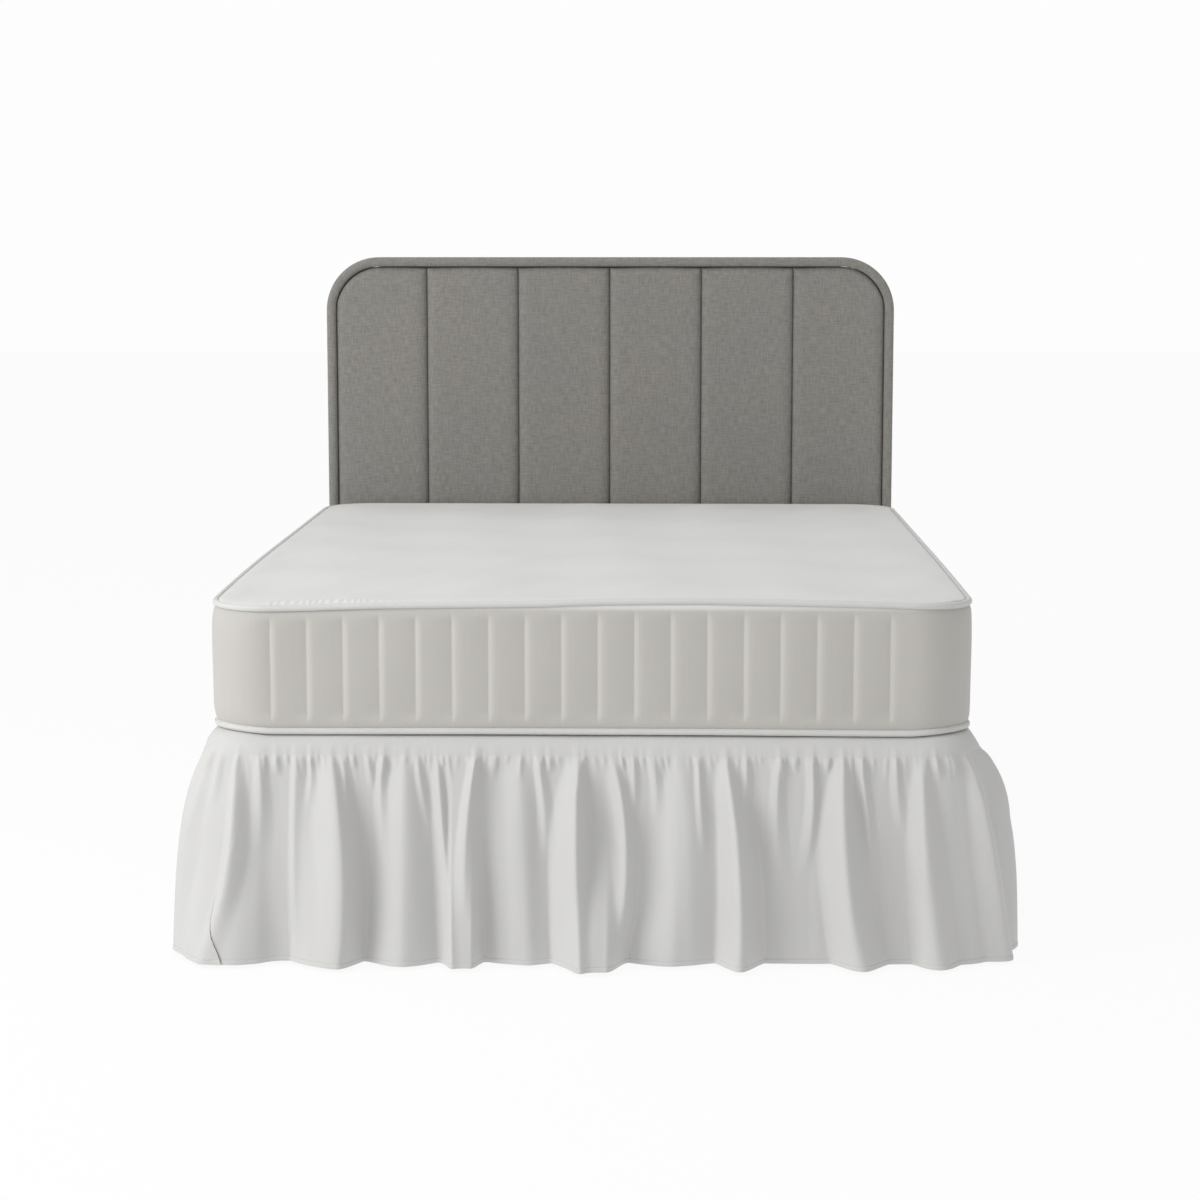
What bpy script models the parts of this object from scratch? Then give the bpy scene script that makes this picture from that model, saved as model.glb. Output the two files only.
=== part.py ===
"""A gathered bed skirt on the plain divan bed that it dresses.

The skirt is a deck that lies on the base, a band that turns over the base's top
edge, and three gathered drops: one across the foot and one down each side. The
mattress lies on the deck, and a floor-standing headboard closes the head end.

Metres, +Z up. The origin is on the floor under the middle of the whole bed, -Y
is the foot and +X is the right-hand side seen from the foot.
"""

import math
from collections import namedtuple

import bmesh
import bpy
from mathutils import Vector

# ---------------------------------------------------------------- driving sizes

FOOT_Y = -0.998          # foot end of the base
HEAD_Y = 1.014           # head end of the base and front of the headboard
HALF_WIDTH = 0.760       # of the base
CORNER_RADIUS = 0.115    # of the base's two foot corners, seen from above
HEAD_CORNER = 0.002      # and of its two head corners
GAP = 0.0003             # between pieces that touch

LEG_HEIGHT = 0.055
LEG_RADIUS = 0.025
BASE_TOP = 0.450
BASE_EDGE_RADIUS = 0.045

DECK_THICK = 0.0015
DECK_EDGE = 0.058        # from the base's side in to the seam of deck and band
EDGE_CLEARANCE = 0.002   # draped cloth off the base's edges
BAND_BOTTOM = 0.414
HEM_Z = 0.008
DROP_THICK = 0.002

MATTRESS_HALF = 0.742    # at the tapes
MATTRESS_BOTTOM = BASE_TOP + 2 * GAP + DECK_THICK
MATTRESS_TOP = 0.714
MATTRESS_CORNER = 0.120
MATTRESS_FOOT = FOOT_Y + 0.020
MATTRESS_HEAD = HEAD_Y - 0.010
TAPE_RADIUS = 0.0065
TAPE_TOP_Z = 0.7065      # centre of the upper tape
TAPE_BOTTOM_Z = 0.4572   # and of the lower one, which lies on the base's rounded shoulder
BOTTOM_DROOP = 0.0014    # how far it sags towards the ends of the foot
CORNER_LIFT = 0.0030     # how much higher it lies at the middle of a corner
HEAD_LIFT = 0.0022       # and at the head end, where it lies on the flat deck
FOOT_SEAMS = 18          # the border's sewn lines across the foot
FIRST_SEAM = -0.620      # x of the first one
CHANNEL_PITCH = 0.0706
SIDE_SEAMS = 25          # and down a side, from this far past the corner
SIDE_MARGIN = 0.020
CHANNEL_SINK = 0.006     # how far a sewn line draws the border in

# The foot end has settled unevenly: x, and how much higher or lower its top edge
# lies there, in mm.
Settled = namedtuple("Settled", "x rise")
SETTLED = [
    Settled(-0.742, -13), Settled(-0.640, -11), Settled(-0.550, -9), Settled(-0.430, -4.5),
    Settled(-0.250, -2), Settled(-0.100, 0), Settled(0.020, 4.5), Settled(0.200, 7),
    Settled(0.400, 3.5), Settled(0.530, 1), Settled(0.635, -2), Settled(0.742, -7),
]

BOARD_HALF = 0.750       # outside of the headboard's rim
BOARD_TOP = 1.363
BOARD_CORNER = 0.140
BOARD_FRONT = HEAD_Y + 0.030
BOARD_BACK = HEAD_Y + 0.075
RIM_WIDTH = 0.024
PAD_COUNT = 6
PAD_BOTTOM = 0.446
PAD_DEPTH = 0.026
PAD_EDGE = 0.010         # thickness of a pad at the seams between pads
PAD_ROLL = 0.030         # radius with which it swells from there

# ------------------------------------------------------------------- the folds

# Where the drop's fabric is pushed out: a crest runs from `top` on the gathered
# seam through `bend` to `end`, in mm along the base's edge from the middle of
# the foot, and stops at `reach`, a share of the drop. `left` and `right` are the
# widths of its two flanks and `depth` how far it stands out, all in mm.
Fold = namedtuple("Fold", "top bend end reach left right depth")

FOOT_FOLDS = [
    Fold(-641, -636, -640, 0.48, 22, 24, 11),
    Fold(-608, -608, -606, 0.10, 12, 12, 7),
    Fold(-568, -571, -552, 1.60, 16, 60, 11),
    Fold(-540, -541, -554, 0.30, 14, 16, 9),
    Fold(-502, -479, -489, 1.00, 98, 52, 62),
    Fold(-480, -470, -466, 0.30, 10, 16, 9),
    Fold(-460, -459, -458, 0.07, 8, 8, 6),
    Fold(-429, -424, -420, 0.17, 12, 13, 8),
    Fold(-400, -405, -398, 0.56, 17, 19, 11),
    Fold(-360, -355, -364, 1.00, 80, 84, 42),
    Fold(-334, -322, -306, 0.36, 12, 15, 8),
    Fold(-295, -279, -266, 1.00, 34, 22, 30),
    Fold(-284, -283, -282, 0.06, 8, 8, 6),
    Fold(-219, -238, -236, 0.78, 22, 24, 20),
    Fold(-186, -188, -190, 0.13, 12, 12, 6),
    Fold(-136, -134, -121, 1.00, 80, 64, 25),
    Fold(-101, -88, -84, 0.50, 15, 22, 11),
    Fold(-76, -75, -74, 0.08, 9, 10, 6),
    Fold(-24, -26, -20, 1.00, 62, 38, 62),
    Fold(-13, -18, -24, 0.17, 8, 10, 8),
    Fold(44, 70, 40, 1.00, 44, 32, 38),
    Fold(63, 63, 64, 0.07, 8, 8, 6),
    Fold(84, 87, 81, 0.32, 12, 13, 9),
    Fold(124, 129, 128, 0.32, 14, 18, 8),
    Fold(176, 182, 158, 1.00, 86, 90, 28),
    Fold(211, 215, 223, 0.46, 12, 15, 9),
    Fold(262, 288, 292, 1.00, 50, 50, 64),
    Fold(303, 302, 296, 0.42, 14, 18, 10),
    Fold(368, 362, 374, 0.66, 20, 26, 12),
    Fold(395, 396, 398, 0.08, 8, 10, 6),
    Fold(429, 431, 416, 0.56, 20, 14, 12),
    Fold(457, 458, 460, 0.09, 9, 10, 7),
    Fold(489, 494, 526, 1.00, 58, 56, 60),
    Fold(523, 539, 553, 0.72, 16, 20, 12),
    Fold(591, 595, 607, 0.36, 16, 18, 8),
    Fold(641, 648, 664, 1.00, 38, 40, 40),
    Fold(668, 670, 674, 0.12, 10, 12, 7),
    Fold(700, 702, 706, 0.10, 10, 10, 7),
    Fold(736, 748, 768, 1.00, 26, 50, 32),
]
LEFT_CORNER_FOLDS = [
    Fold(-683, -681, -714, 1.00, 24, 27, 30),
    Fold(-716, -720, -728, 0.26, 12, 14, 8),
    Fold(-748, -756, -768, 0.44, 16, 18, 9),
    Fold(-784, -790, -804, 1.00, 52, 60, 30),
]
RIGHT_CORNER_FOLDS = [
    Fold(806, 820, 846, 1.00, 62, 46, 52),
    Fold(796, 800, 806, 0.34, 70, 70, 10),
    Fold(838, 842, 850, 0.50, 26, 26, 12),
]

# Where two ridges run together into one broad fold, the cloth between them fills out
# below `start`: flat in the middle, and falling over `flank` at each side.
Filled = namedtuple("Filled", "place start half flank height")
FILLED = [
    Filled(-704, 0.40, 104, 96, 27),
    Filled(-246, -0.15, 44, 26, 52),
    Filled(8, 0.28, 70, 46, 72),
]

# The side drops beyond the corners repeat this run of folds. `step` is the
# distance on from the crest before, and `lean` how far the crest drifts on its
# way down.
SideFold = namedtuple("SideFold", "step lean reach left right depth")

SIDE_START = 905         # first crest of the run on the right, in mm
SIDE_OFFSET = 22         # and how much later it starts on the left
SIDE_RUN = [
    SideFold(104, 14, 1.00, 62, 48, 54),
    SideFold(66, -10, 0.42, 20, 24, 11),
    SideFold(58, 22, 1.00, 54, 60, 40),
    SideFold(96, -16, 1.00, 60, 30, 62),
    SideFold(54, 8, 0.60, 22, 20, 11),
    SideFold(82, 12, 1.00, 66, 52, 48),
    SideFold(118, -8, 1.00, 48, 44, 58),
    SideFold(60, 10, 0.36, 20, 22, 11),
    SideFold(74, -14, 1.00, 56, 64, 34),
]

SEAM_OUTSET = 0.0040     # of a drop's outer face at the band, from the base's side
PLAIN_FLARE = 0.018      # how far out the hem hangs where there is no fold
CORNER_FLARE = 0.034     # and how much more round the foot corners
CORNER_MIDDLE = 0.755    # distance along the edge from the middle of the foot to a corner
LEFT_REACH = 0.165       # how far towards the foot's middle that fades, on the left
CORNER_REACH = 0.125     # and on the right and along the sides
RIGHT_FLARE = 0.011      # how much further the right-hand drop stands out at its hem
PLEAT = 9                # half the width of a long fold where it leaves the band, in mm
GATHER_DEPTH = 0.0060    # of the fine puckers just under the band
GATHER_REACH = 0.22      # share of the drop where they have died out
FOOT_GATHER = 0.020      # from one fine pucker to the next, across the foot
SIDE_GATHER = 0.036      # and down the sides

FOOT_ROWS = (0.0, 0.04, 0.12, 0.25, 0.45, 0.70, 1.0)
SIDE_ROWS = (0.0, 0.05, 0.17, 0.42, 0.72, 1.0)

# The free front edge of each side drop, which hangs over the end of the foot
# drop: share of the drop, and distance along the base's edge.
LEFT_SPLIT = (
    (0.0, -0.668), (0.30, -0.668), (0.42, -0.674), (0.52, -0.686), (0.62, -0.699),
    (0.70, -0.706), (0.78, -0.7065), (0.88, -0.699), (1.0, -0.688),
)
RIGHT_SPLIT = ((0.0, 0.735), (1.0, 0.775))
FOOT_DROP_ENDS = (-0.745, 0.800)
OVERLAP_STEP = 0.006     # how far a side drop stands off the foot drop below it

# ------------------------------------------------------------- shared geometry

Station = namedtuple("Station", "x y nx ny")


def smooth_step(t):
    t = min(1.0, max(0.0, t))
    return t * t * (3 - 2 * t)


def along_table(table, at):
    """Straight-line reading of a table of (place, value) rows."""
    for (a, low), (b, high) in zip(table, table[1:]):
        if at <= b:
            return low + (high - low) * (at - a) / (b - a)
    return table[-1][1]


FLAT_FOOT = HALF_WIDTH - CORNER_RADIUS
CORNER_LENGTH = CORNER_RADIUS * math.pi / 2
SIDE_LENGTH = FLAT_FOOT + CORNER_LENGTH + HEAD_Y - FOOT_Y - CORNER_RADIUS


def edge_station(s):
    """The base's edge at distance s from the middle of the foot, and the way out from it."""
    side = math.copysign(1.0, s)
    along = abs(s)
    if along <= FLAT_FOOT:
        return Station(s, FOOT_Y, 0.0, -1.0)
    if along <= FLAT_FOOT + CORNER_LENGTH:
        turn = (along - FLAT_FOOT) / CORNER_RADIUS
        x = side * (FLAT_FOOT + CORNER_RADIUS * math.sin(turn))
        y = FOOT_Y + CORNER_RADIUS * (1 - math.cos(turn))
        return Station(x, y, side * math.sin(turn), -math.cos(turn))
    y = FOOT_Y + CORNER_RADIUS + along - FLAT_FOOT - CORNER_LENGTH
    return Station(side * HALF_WIDTH, y, side, 0.0)


def out_from(station, outset, z):
    return Vector((station.x + station.nx * outset, station.y + station.ny * outset, z))


def add_object(name, points, faces, material, smooth_angle=None):
    """One closed mesh as an object, its faces turned outwards."""
    mesh = bpy.data.meshes.new(name)
    mesh.from_pydata([tuple(p) for p in points], [], faces)
    work = bmesh.new()
    work.from_mesh(mesh)
    bmesh.ops.recalc_face_normals(work, faces=work.faces)
    work.to_mesh(mesh)
    work.free()
    if smooth_angle is not None:
        mesh.shade_smooth()
        mesh.set_sharp_from_angle(angle=smooth_angle)
    mesh.materials.append(material)
    made = bpy.data.objects.new(name, mesh)
    bpy.context.scene.collection.objects.link(made)
    return made


def grid_faces(rows, columns, first=0, around=False):
    """Quads of a grid whose points are stored row by row, closed sideways if it goes around."""
    faces = []
    wide = columns if around else columns - 1
    for row in range(rows - 1):
        for column in range(wide):
            a = first + row * columns + column
            b = first + row * columns + (column + 1) % columns
            faces.append((a, b, b + columns, a + columns))
    return faces


def sheet_solid(name, grid, thickness, material):
    """A sheet of cloth: grid[row][column] is its outer face, and its inner face lies below it.

    Both faces are cut along the same diagonals, so the sheet stays whole where four
    points aren't in one plane.
    """
    rows, columns = len(grid), len(grid[0])
    inner = []
    for row in range(rows):
        for column in range(columns):
            right = grid[row][min(column + 1, columns - 1)]
            left = grid[row][max(column - 1, 0)]
            lower = grid[min(row + 1, rows - 1)][column]
            upper = grid[max(row - 1, 0)][column]
            normal = (right - left).cross(upper - lower).normalized()
            inner.append(grid[row][column] - normal * thickness)
    outer = [p for row in grid for p in row]
    count = rows * columns
    faces = []
    for a, b, c, d in grid_faces(rows, columns):
        if (outer[a] - outer[c]).length < (outer[b] - outer[d]).length:
            halves = ((a, b, c), (a, c, d))
        else:
            halves = ((a, b, d), (b, c, d))
        for half in halves:
            faces.append(half)
            faces.append(tuple(i + count for i in reversed(half)))
    rim = [column for column in range(columns)]
    rim += [row * columns + columns - 1 for row in range(1, rows)]
    rim += [(rows - 1) * columns + column for column in range(columns - 2, -1, -1)]
    rim += [row * columns for row in range(rows - 2, 0, -1)]
    for a, b in zip(rim, rim[1:] + rim[:1]):
        faces.append((a, b, b + count, a + count))
    return add_object(name, outer + inner, faces, material, math.radians(60))


def ring_stack(name, rings, material, smooth_angle):
    """A solid from closed rings of points, one above another, capped at both ends."""
    columns = len(rings[0])
    points = [p for ring in rings for p in ring]
    faces = grid_faces(len(rings), columns, around=True)
    last = (len(rings) - 1) * columns
    faces.append(tuple(range(columns - 1, -1, -1)))
    faces.append(tuple(range(last, last + columns)))
    return add_object(name, points, faces, material, smooth_angle)


def cloth_material(name, colour, roughness, metallic=0.0):
    material = bpy.data.materials.new(name)
    material.use_nodes = True
    shader = material.node_tree.nodes["Principled BSDF"]
    shader.inputs["Base Color"].default_value = (*colour, 1.0)
    shader.inputs["Roughness"].default_value = roughness
    shader.inputs["Metallic"].default_value = metallic
    material.diffuse_color = (*colour, 1.0)
    return material


def spread(low, high, count):
    """count numbers from low to high, evenly apart."""
    return [low + (high - low) * i / (count - 1) for i in range(count)]


# ------------------------------------------------------------------- the drops


def side_folds(side):
    """The side drop's folds, in mm from the middle of the foot; side is -1 or 1."""
    folds = list(LEFT_CORNER_FOLDS if side < 0 else RIGHT_CORNER_FOLDS)
    crest = SIDE_START if side > 0 else SIDE_START + SIDE_OFFSET
    turn = 0
    while crest < SIDE_LENGTH * 1000 - 20:
        row = SIDE_RUN[turn % len(SIDE_RUN)]
        if turn:
            crest += row.step
        flanks = (row.left, row.right) if side > 0 else (row.right, row.left)
        places = [side * (crest + row.lean * share) for share in (0, 0.4, 1)]
        folds.append(Fold(*places, row.reach, *flanks, row.depth))
        turn += 1
    return folds


def crest_place(fold, down):
    """Where the fold's crest runs at this share of the drop, in mm: a curve through its three places."""
    t = min(1.0, down / fold.reach)
    return (1 - t) * (1 - 2 * t) * fold.top + 4 * t * (1 - t) * fold.bend + t * (2 * t - 1) * fold.end


def ridge(away, roundness, pinch):
    """1 on a crest and 0 where its flank ends. A flank steepens towards the crest, which is rounded."""
    gone = (math.hypot(min(1.0, away), roundness) - roundness) / (math.hypot(1, roundness) - roundness)
    return max(0.0, 1 - gone) ** pinch


def fold_height(fold, s_mm, down):
    """How far one fold pushes the cloth out at s_mm along and `down` the drop, in mm."""
    if down > fold.reach:
        return 0.0
    t = down / fold.reach
    away = s_mm - crest_place(fold, down)
    flank = fold.left if away < 0 else fold.right
    if fold.reach == 1:
        width = PLEAT + (flank - PLEAT) * (1 - math.exp(-(t + 0.03) / 0.20))
        grown = 0.04 + 0.96 * (1 - math.exp(-down / 0.22))
        return fold.depth * grown * ridge(abs(away) / width, 0.28 + 0.30 * down, 2.0 - 0.7 * down * down)
    width = min(PLEAT, flank) + max(flank - PLEAT, 0) * min(1.0, 0.35 + t)
    grown = (1 - math.exp(-(down + 0.004) / 0.020)) * (1 - t * t)
    return fold.depth * grown * ridge(abs(away) / width, 0.22, 1.3)


def threads(folds, down, start, end):
    """Rows of (place on the seam, place at `down`) in metres: the threads drift with the long folds."""
    rows = [(start[0], start[1])]
    for fold in sorted(folds, key=lambda row: row.top):
        if fold.reach == 1 and start[0] + 0.015 < fold.top / 1000 < end[0] - 0.015:
            rows.append((fold.top / 1000, crest_place(fold, down) / 1000))
    return rows + [(end[0], end[1])]


def fine_gather(seam, down, pitch):
    """Puckers under the band, in metres: a crest at every whole pitch, dying out down the drop."""
    if down >= GATHER_REACH:
        return 0.0
    swell = 0.20 + 0.80 * smooth_step(down / 0.035)
    fade = 1 - smooth_step(down / GATHER_REACH)
    return GATHER_DEPTH * swell * fade * 0.5 * (1 + math.cos(2 * math.pi * seam / pitch))


def plain_outset(s, down):
    """The drop with no folds. It swells out under the gathers and then hangs, more so round the foot corners."""
    away = CORNER_MIDDLE - abs(s)
    reach = LEFT_REACH if s < 0 and away > 0 else CORNER_REACH
    corner = smooth_step(1 - abs(away) / reach)
    grown = 0.5 * (1 - math.exp(-down / 0.2)) + 0.5 * down
    right = RIGHT_FLARE * down ** 2 * smooth_step((s - 0.72) / 0.1)
    return SEAM_OUTSET + (PLAIN_FLARE + CORNER_FLARE * corner) * grown + right


def pushed_out(folds, s, down):
    """All folds at one place, in metres: long ones join where they meet, and short ones ride on top."""
    power = 2.5
    long_ones, short_ones = 0.0, 0.0
    for fold in folds:
        height = (fold_height(fold, s * 1000, down) / 1000) ** power
        if fold.reach == 1:
            long_ones += height
        else:
            short_ones += height
    joined = long_ones ** (1 / power)
    for row in FILLED:
        broad = smooth_step((row.half - abs(s * 1000 - row.place)) / row.flank)
        height = row.height / 1000 * smooth_step((down - row.start) / (1 - row.start)) * broad
        joined = (joined ** 3 + height ** 3) ** (1 / 3)
    return joined + short_ones ** (1 / power)


def foot_outset(s, down, seam=None):
    """The foot drop's outer face; its puckers flatten where a side drop hangs over it."""
    outset = plain_outset(s, down) + pushed_out(FOOT_FOLDS, s, down)
    if seam is None:
        return outset
    split = abs(side_split(s, down))
    return outset + fine_gather(seam, down, FOOT_GATHER) * smooth_step((split - 0.010 - abs(s)) / 0.030)


def side_outset(side, folds, s, down, seam):
    """A side drop's outer face; it stays off the end of the foot drop that it hangs over."""
    start = abs(side_split(side, 0.0))
    gather = fine_gather(abs(seam) - start, down, SIDE_GATHER) * smooth_step((abs(seam) - start) / 0.10)
    own = plain_outset(s, down) + pushed_out(folds, s, down) + gather
    end = abs(FOOT_DROP_ENDS[0] if side < 0 else FOOT_DROP_ENDS[1])
    lap = 1 - smooth_step((abs(s) - end - 0.012) / 0.05)
    near = [math.copysign(min(abs(s) + step, end), s) for step in (-0.010, -0.005, 0.0, 0.005, 0.010)]
    below = max(foot_outset(place, down) for place in near) + OVERLAP_STEP * (0.6 + 0.4 * down)
    return own + max(0.0, below - own) * lap


def side_split(side, down):
    return along_table(LEFT_SPLIT if side < 0 else RIGHT_SPLIT, down)


def drop_point(s, down, outset):
    top = BAND_BOTTOM - GAP
    return out_from(edge_station(s), outset, top - down * (top - HEM_Z))


def foot_drop(material):
    low, high = FOOT_DROP_ENDS
    half_pitch = FOOT_GATHER / 2
    first = math.ceil(low / half_pitch)
    last = math.floor(high / half_pitch)
    seams = [low] + [k * half_pitch for k in range(first + 1, last)] + [high]
    grid = []
    for down in FOOT_ROWS:
        hung = threads(FOOT_FOLDS, down, (low, low), (high, high))
        row = []
        for seam in seams:
            s = along_table(hung, seam)
            row.append(drop_point(s, down, foot_outset(s, down, seam)))
        grid.append(row)
    return sheet_solid("drop_foot", grid, DROP_THICK, material)


def side_drop(name, side, material):
    folds = side_folds(side)
    first, last = side_split(side, 0.0), side * (SIDE_LENGTH - 0.003)
    count = 2 * round(abs(last - first) / SIDE_GATHER) + 1
    ends = sorted((first, last))
    grid = []
    for down in SIDE_ROWS:
        edge = side_split(side, down)
        hung_ends = [(place, edge if place == first else place) for place in ends]
        hung = threads(folds, down, *hung_ends)
        row = []
        for seam in spread(ends[0], ends[1], count):
            s = along_table(hung, seam)
            row.append(drop_point(s, down, side_outset(side, folds, s, down, seam)))
        grid.append(row)
    return sheet_solid(name, grid, DROP_THICK, material)


# -------------------------------------------------------- the deck and the band


def band_profile():
    """(outset from the base's edge, height) of the band's outer face, from its inner edge down."""
    reach = BASE_EDGE_RADIUS + EDGE_CLEARANCE + DECK_THICK
    centre_z = BASE_TOP - BASE_EDGE_RADIUS
    flat_z = BASE_TOP + GAP + DECK_THICK
    first = math.asin((flat_z - centre_z) / reach)
    last = math.asin((BAND_BOTTOM - centre_z) / reach)
    profile = [(-DECK_EDGE + GAP, flat_z)]
    for turn in spread(first, last, 6):
        profile.append((-BASE_EDGE_RADIUS + reach * math.cos(turn), centre_z + reach * math.sin(turn)))
    return profile


def band(material):
    """The strip that turns over the base's edge on three sides, with the drops sewn to it."""
    corner = spread(FLAT_FOOT, FLAT_FOOT + CORNER_LENGTH, 9)
    along = [0.0, FLAT_FOOT / 2] + corner + [SIDE_LENGTH - 0.8, SIDE_LENGTH - 0.002]
    places = [-s for s in along[:0:-1]] + along
    grid = []
    for outset, z in band_profile():
        grid.append([out_from(edge_station(s), outset, z) for s in places])
    return sheet_solid("band", grid, DECK_THICK, material)


def deck(material):
    """The flat panel under the mattress, sewn to the band along three sides."""
    low_z = BASE_TOP + GAP
    corner = spread(FLAT_FOOT, FLAT_FOOT + CORNER_LENGTH, 7)
    along = corner + [SIDE_LENGTH - 0.002]
    places = [-s for s in along[::-1]] + along
    edge = [out_from(edge_station(s), -DECK_EDGE - GAP, low_z) for s in places]
    rings = [edge, [p + Vector((0, 0, DECK_THICK)) for p in edge]]
    return ring_stack("deck", rings, material, None)


# --------------------------------------------------------------------- the base


def loop_stations(half, foot, head, foot_radius, head_radius, foot_steps, side_steps, arc_steps):
    """Stations round a rectangle with rounded corners, anticlockwise from the left of the foot."""
    corners = [
        (half - foot_radius, foot + foot_radius, foot_radius, -90, foot_steps),
        (half - head_radius, head - head_radius, head_radius, 0, side_steps),
        (-half + head_radius, head - head_radius, head_radius, 90, foot_steps),
        (-half + foot_radius, foot + foot_radius, foot_radius, 180, side_steps),
    ]
    stations = []
    previous = corners[-1]
    for corner in corners:
        x, y, radius, start, steps = corner
        turn = math.radians(start)
        normal = (math.cos(turn), math.sin(turn))
        begin = (previous[0] + previous[2] * normal[0], previous[1] + previous[2] * normal[1])
        finish = (x + radius * normal[0], y + radius * normal[1])
        for share in (i / steps for i in range(steps)):
            stations.append(Station(
                begin[0] + (finish[0] - begin[0]) * share,
                begin[1] + (finish[1] - begin[1]) * share,
                *normal,
            ))
        for i in range(arc_steps):
            turn = math.radians(start + 90 * i / arc_steps)
            stations.append(Station(
                x + radius * math.cos(turn), y + radius * math.sin(turn), math.cos(turn), math.sin(turn)
            ))
        previous = corner
    return stations


def base(material):
    """The upholstered box. Its outline draws in to round the top edge and to ease the bottom one."""
    stations = loop_stations(
        HALF_WIDTH, FOOT_Y, HEAD_Y - GAP, CORNER_RADIUS, HEAD_CORNER, 1, 1, 8
    )
    insets = [(0.006, LEG_HEIGHT), (0.0, LEG_HEIGHT + 0.006)]
    for angle in (0, 22.5, 45, 67.5, 90):
        turn = math.radians(angle)
        rise = BASE_EDGE_RADIUS * (1 - math.sin(turn))
        insets.append((BASE_EDGE_RADIUS * (1 - math.cos(turn)), BASE_TOP - rise))
    rings = []
    for inset, z in insets:
        ring = []
        for st in stations:
            # the head end stays flat against the headboard
            if st.y > 0:
                ring.append(Vector((st.x * (1 - inset / HALF_WIDTH), st.y, z)))
            else:
                ring.append(out_from(st, -inset, z))
        rings.append(ring)
    return ring_stack("base", rings, material, math.radians(30))


def legs(material):
    """Six short round legs under the base, the outer ones in from its corners."""
    places = [(x, y) for y in (FOOT_Y + 0.12, (FOOT_Y + HEAD_Y) / 2, HEAD_Y - 0.12) for x in (-0.62, 0.62)]
    sides = 16
    for number, (x, y) in enumerate(places, 1):
        rings = []
        for radius, z in ((LEG_RADIUS, 0.0), (LEG_RADIUS + 0.003, LEG_HEIGHT - GAP)):
            turns = [2 * math.pi * k / sides for k in range(sides)]
            rings.append([Vector((x + radius * math.cos(t), y + radius * math.sin(t), z)) for t in turns])
        ring_stack(f"leg_{number}", rings, material, math.radians(30))


# ----------------------------------------------------------------- the mattress

MATTRESS_MIDDLE = (MATTRESS_FOOT + MATTRESS_HEAD) / 2


def tape_height(station, upper):
    """Centre of a tape at a station."""
    foot = max(0.0, (MATTRESS_MIDDLE - station.y) / (MATTRESS_MIDDLE - MATTRESS_FOOT)) ** 2.5
    if upper:
        return TAPE_TOP_Z + along_table(SETTLED, station.x) / 1000 * foot
    sag = BOTTOM_DROOP * smooth_step((abs(station.x) - 0.20) / 0.37) * foot
    head = max(0.0, (station.y - MATTRESS_MIDDLE) / (MATTRESS_HEAD - MATTRESS_MIDDLE)) ** 8
    return TAPE_BOTTOM_Z - sag + HEAD_LIFT * head + CORNER_LIFT * 2 * abs(station.nx * station.ny)


def round_mattress(across, along, arc_steps):
    """Stations round the mattress, with these x across the foot and these y up the right side, each turned for the other two."""
    corners = loop_stations(
        MATTRESS_HALF, MATTRESS_FOOT, MATTRESS_HEAD, MATTRESS_CORNER, MATTRESS_CORNER, 1, 1, arc_steps
    )
    turned = [2 * MATTRESS_MIDDLE - y for y in along]
    straights = (
        [Station(x, MATTRESS_FOOT, 0.0, -1.0) for x in across],
        [Station(MATTRESS_HALF, y, 1.0, 0.0) for y in along],
        [Station(-x, MATTRESS_HEAD, 0.0, 1.0) for x in across],
        [Station(-MATTRESS_HALF, y, -1.0, 0.0) for y in turned],
    )
    stations = []
    for number, straight in enumerate(straights):
        first = number * (arc_steps + 1) + 1
        stations += straight + corners[first:first + arc_steps]
    return stations


def mattress_stations():
    """Stations on every sewn line and half-way to the next, and whether each is on a line."""
    arc_steps = 6
    across = [FIRST_SEAM + CHANNEL_PITCH / 2 * k for k in range(2 * FOOT_SEAMS)]
    straight = MATTRESS_FOOT + MATTRESS_CORNER + SIDE_MARGIN
    along = spread(straight, 2 * MATTRESS_MIDDLE - straight, 2 * SIDE_SEAMS - 1)
    sewn = []
    for places in (across, along, across, along):
        sewn += [i % 2 == 0 for i in range(len(places))] + [False] * arc_steps
    return round_mattress(across, along, arc_steps), sewn


def mattress(material):
    """One filled body: a border swelled between sewn lines, and a softly crowned top."""
    stations, sewn = mattress_stations()
    rings = [[out_from(st, -0.018, MATTRESS_BOTTOM) for st in stations]]
    rings.append([out_from(st, -0.0080, tape_height(st, False)) for st in stations])
    for share, swell in ((0.05, 0.001), (0.14, 0.007), (0.5, 0.008), (0.86, 0.007), (0.95, 0.001)):
        ring = []
        for st, line in zip(stations, sewn):
            low, high = tape_height(st, False), tape_height(st, True)
            sink = CHANNEL_SINK if line and 0.1 < share < 0.9 else 0.0
            ring.append(out_from(st, swell - sink, low + (high - low) * share))
        rings.append(ring)
    rings.append([out_from(st, -0.0080, tape_height(st, True)) for st in stations])
    rings.append([out_from(st, -0.026, tape_height(st, True) + 0.0075) for st in stations])
    rings.append([
        Vector((st.x * 0.7, MATTRESS_MIDDLE + (st.y - MATTRESS_MIDDLE) * 0.7, MATTRESS_TOP)) for st in stations
    ])
    return ring_stack("mattress", rings, material, math.radians(35))


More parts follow.
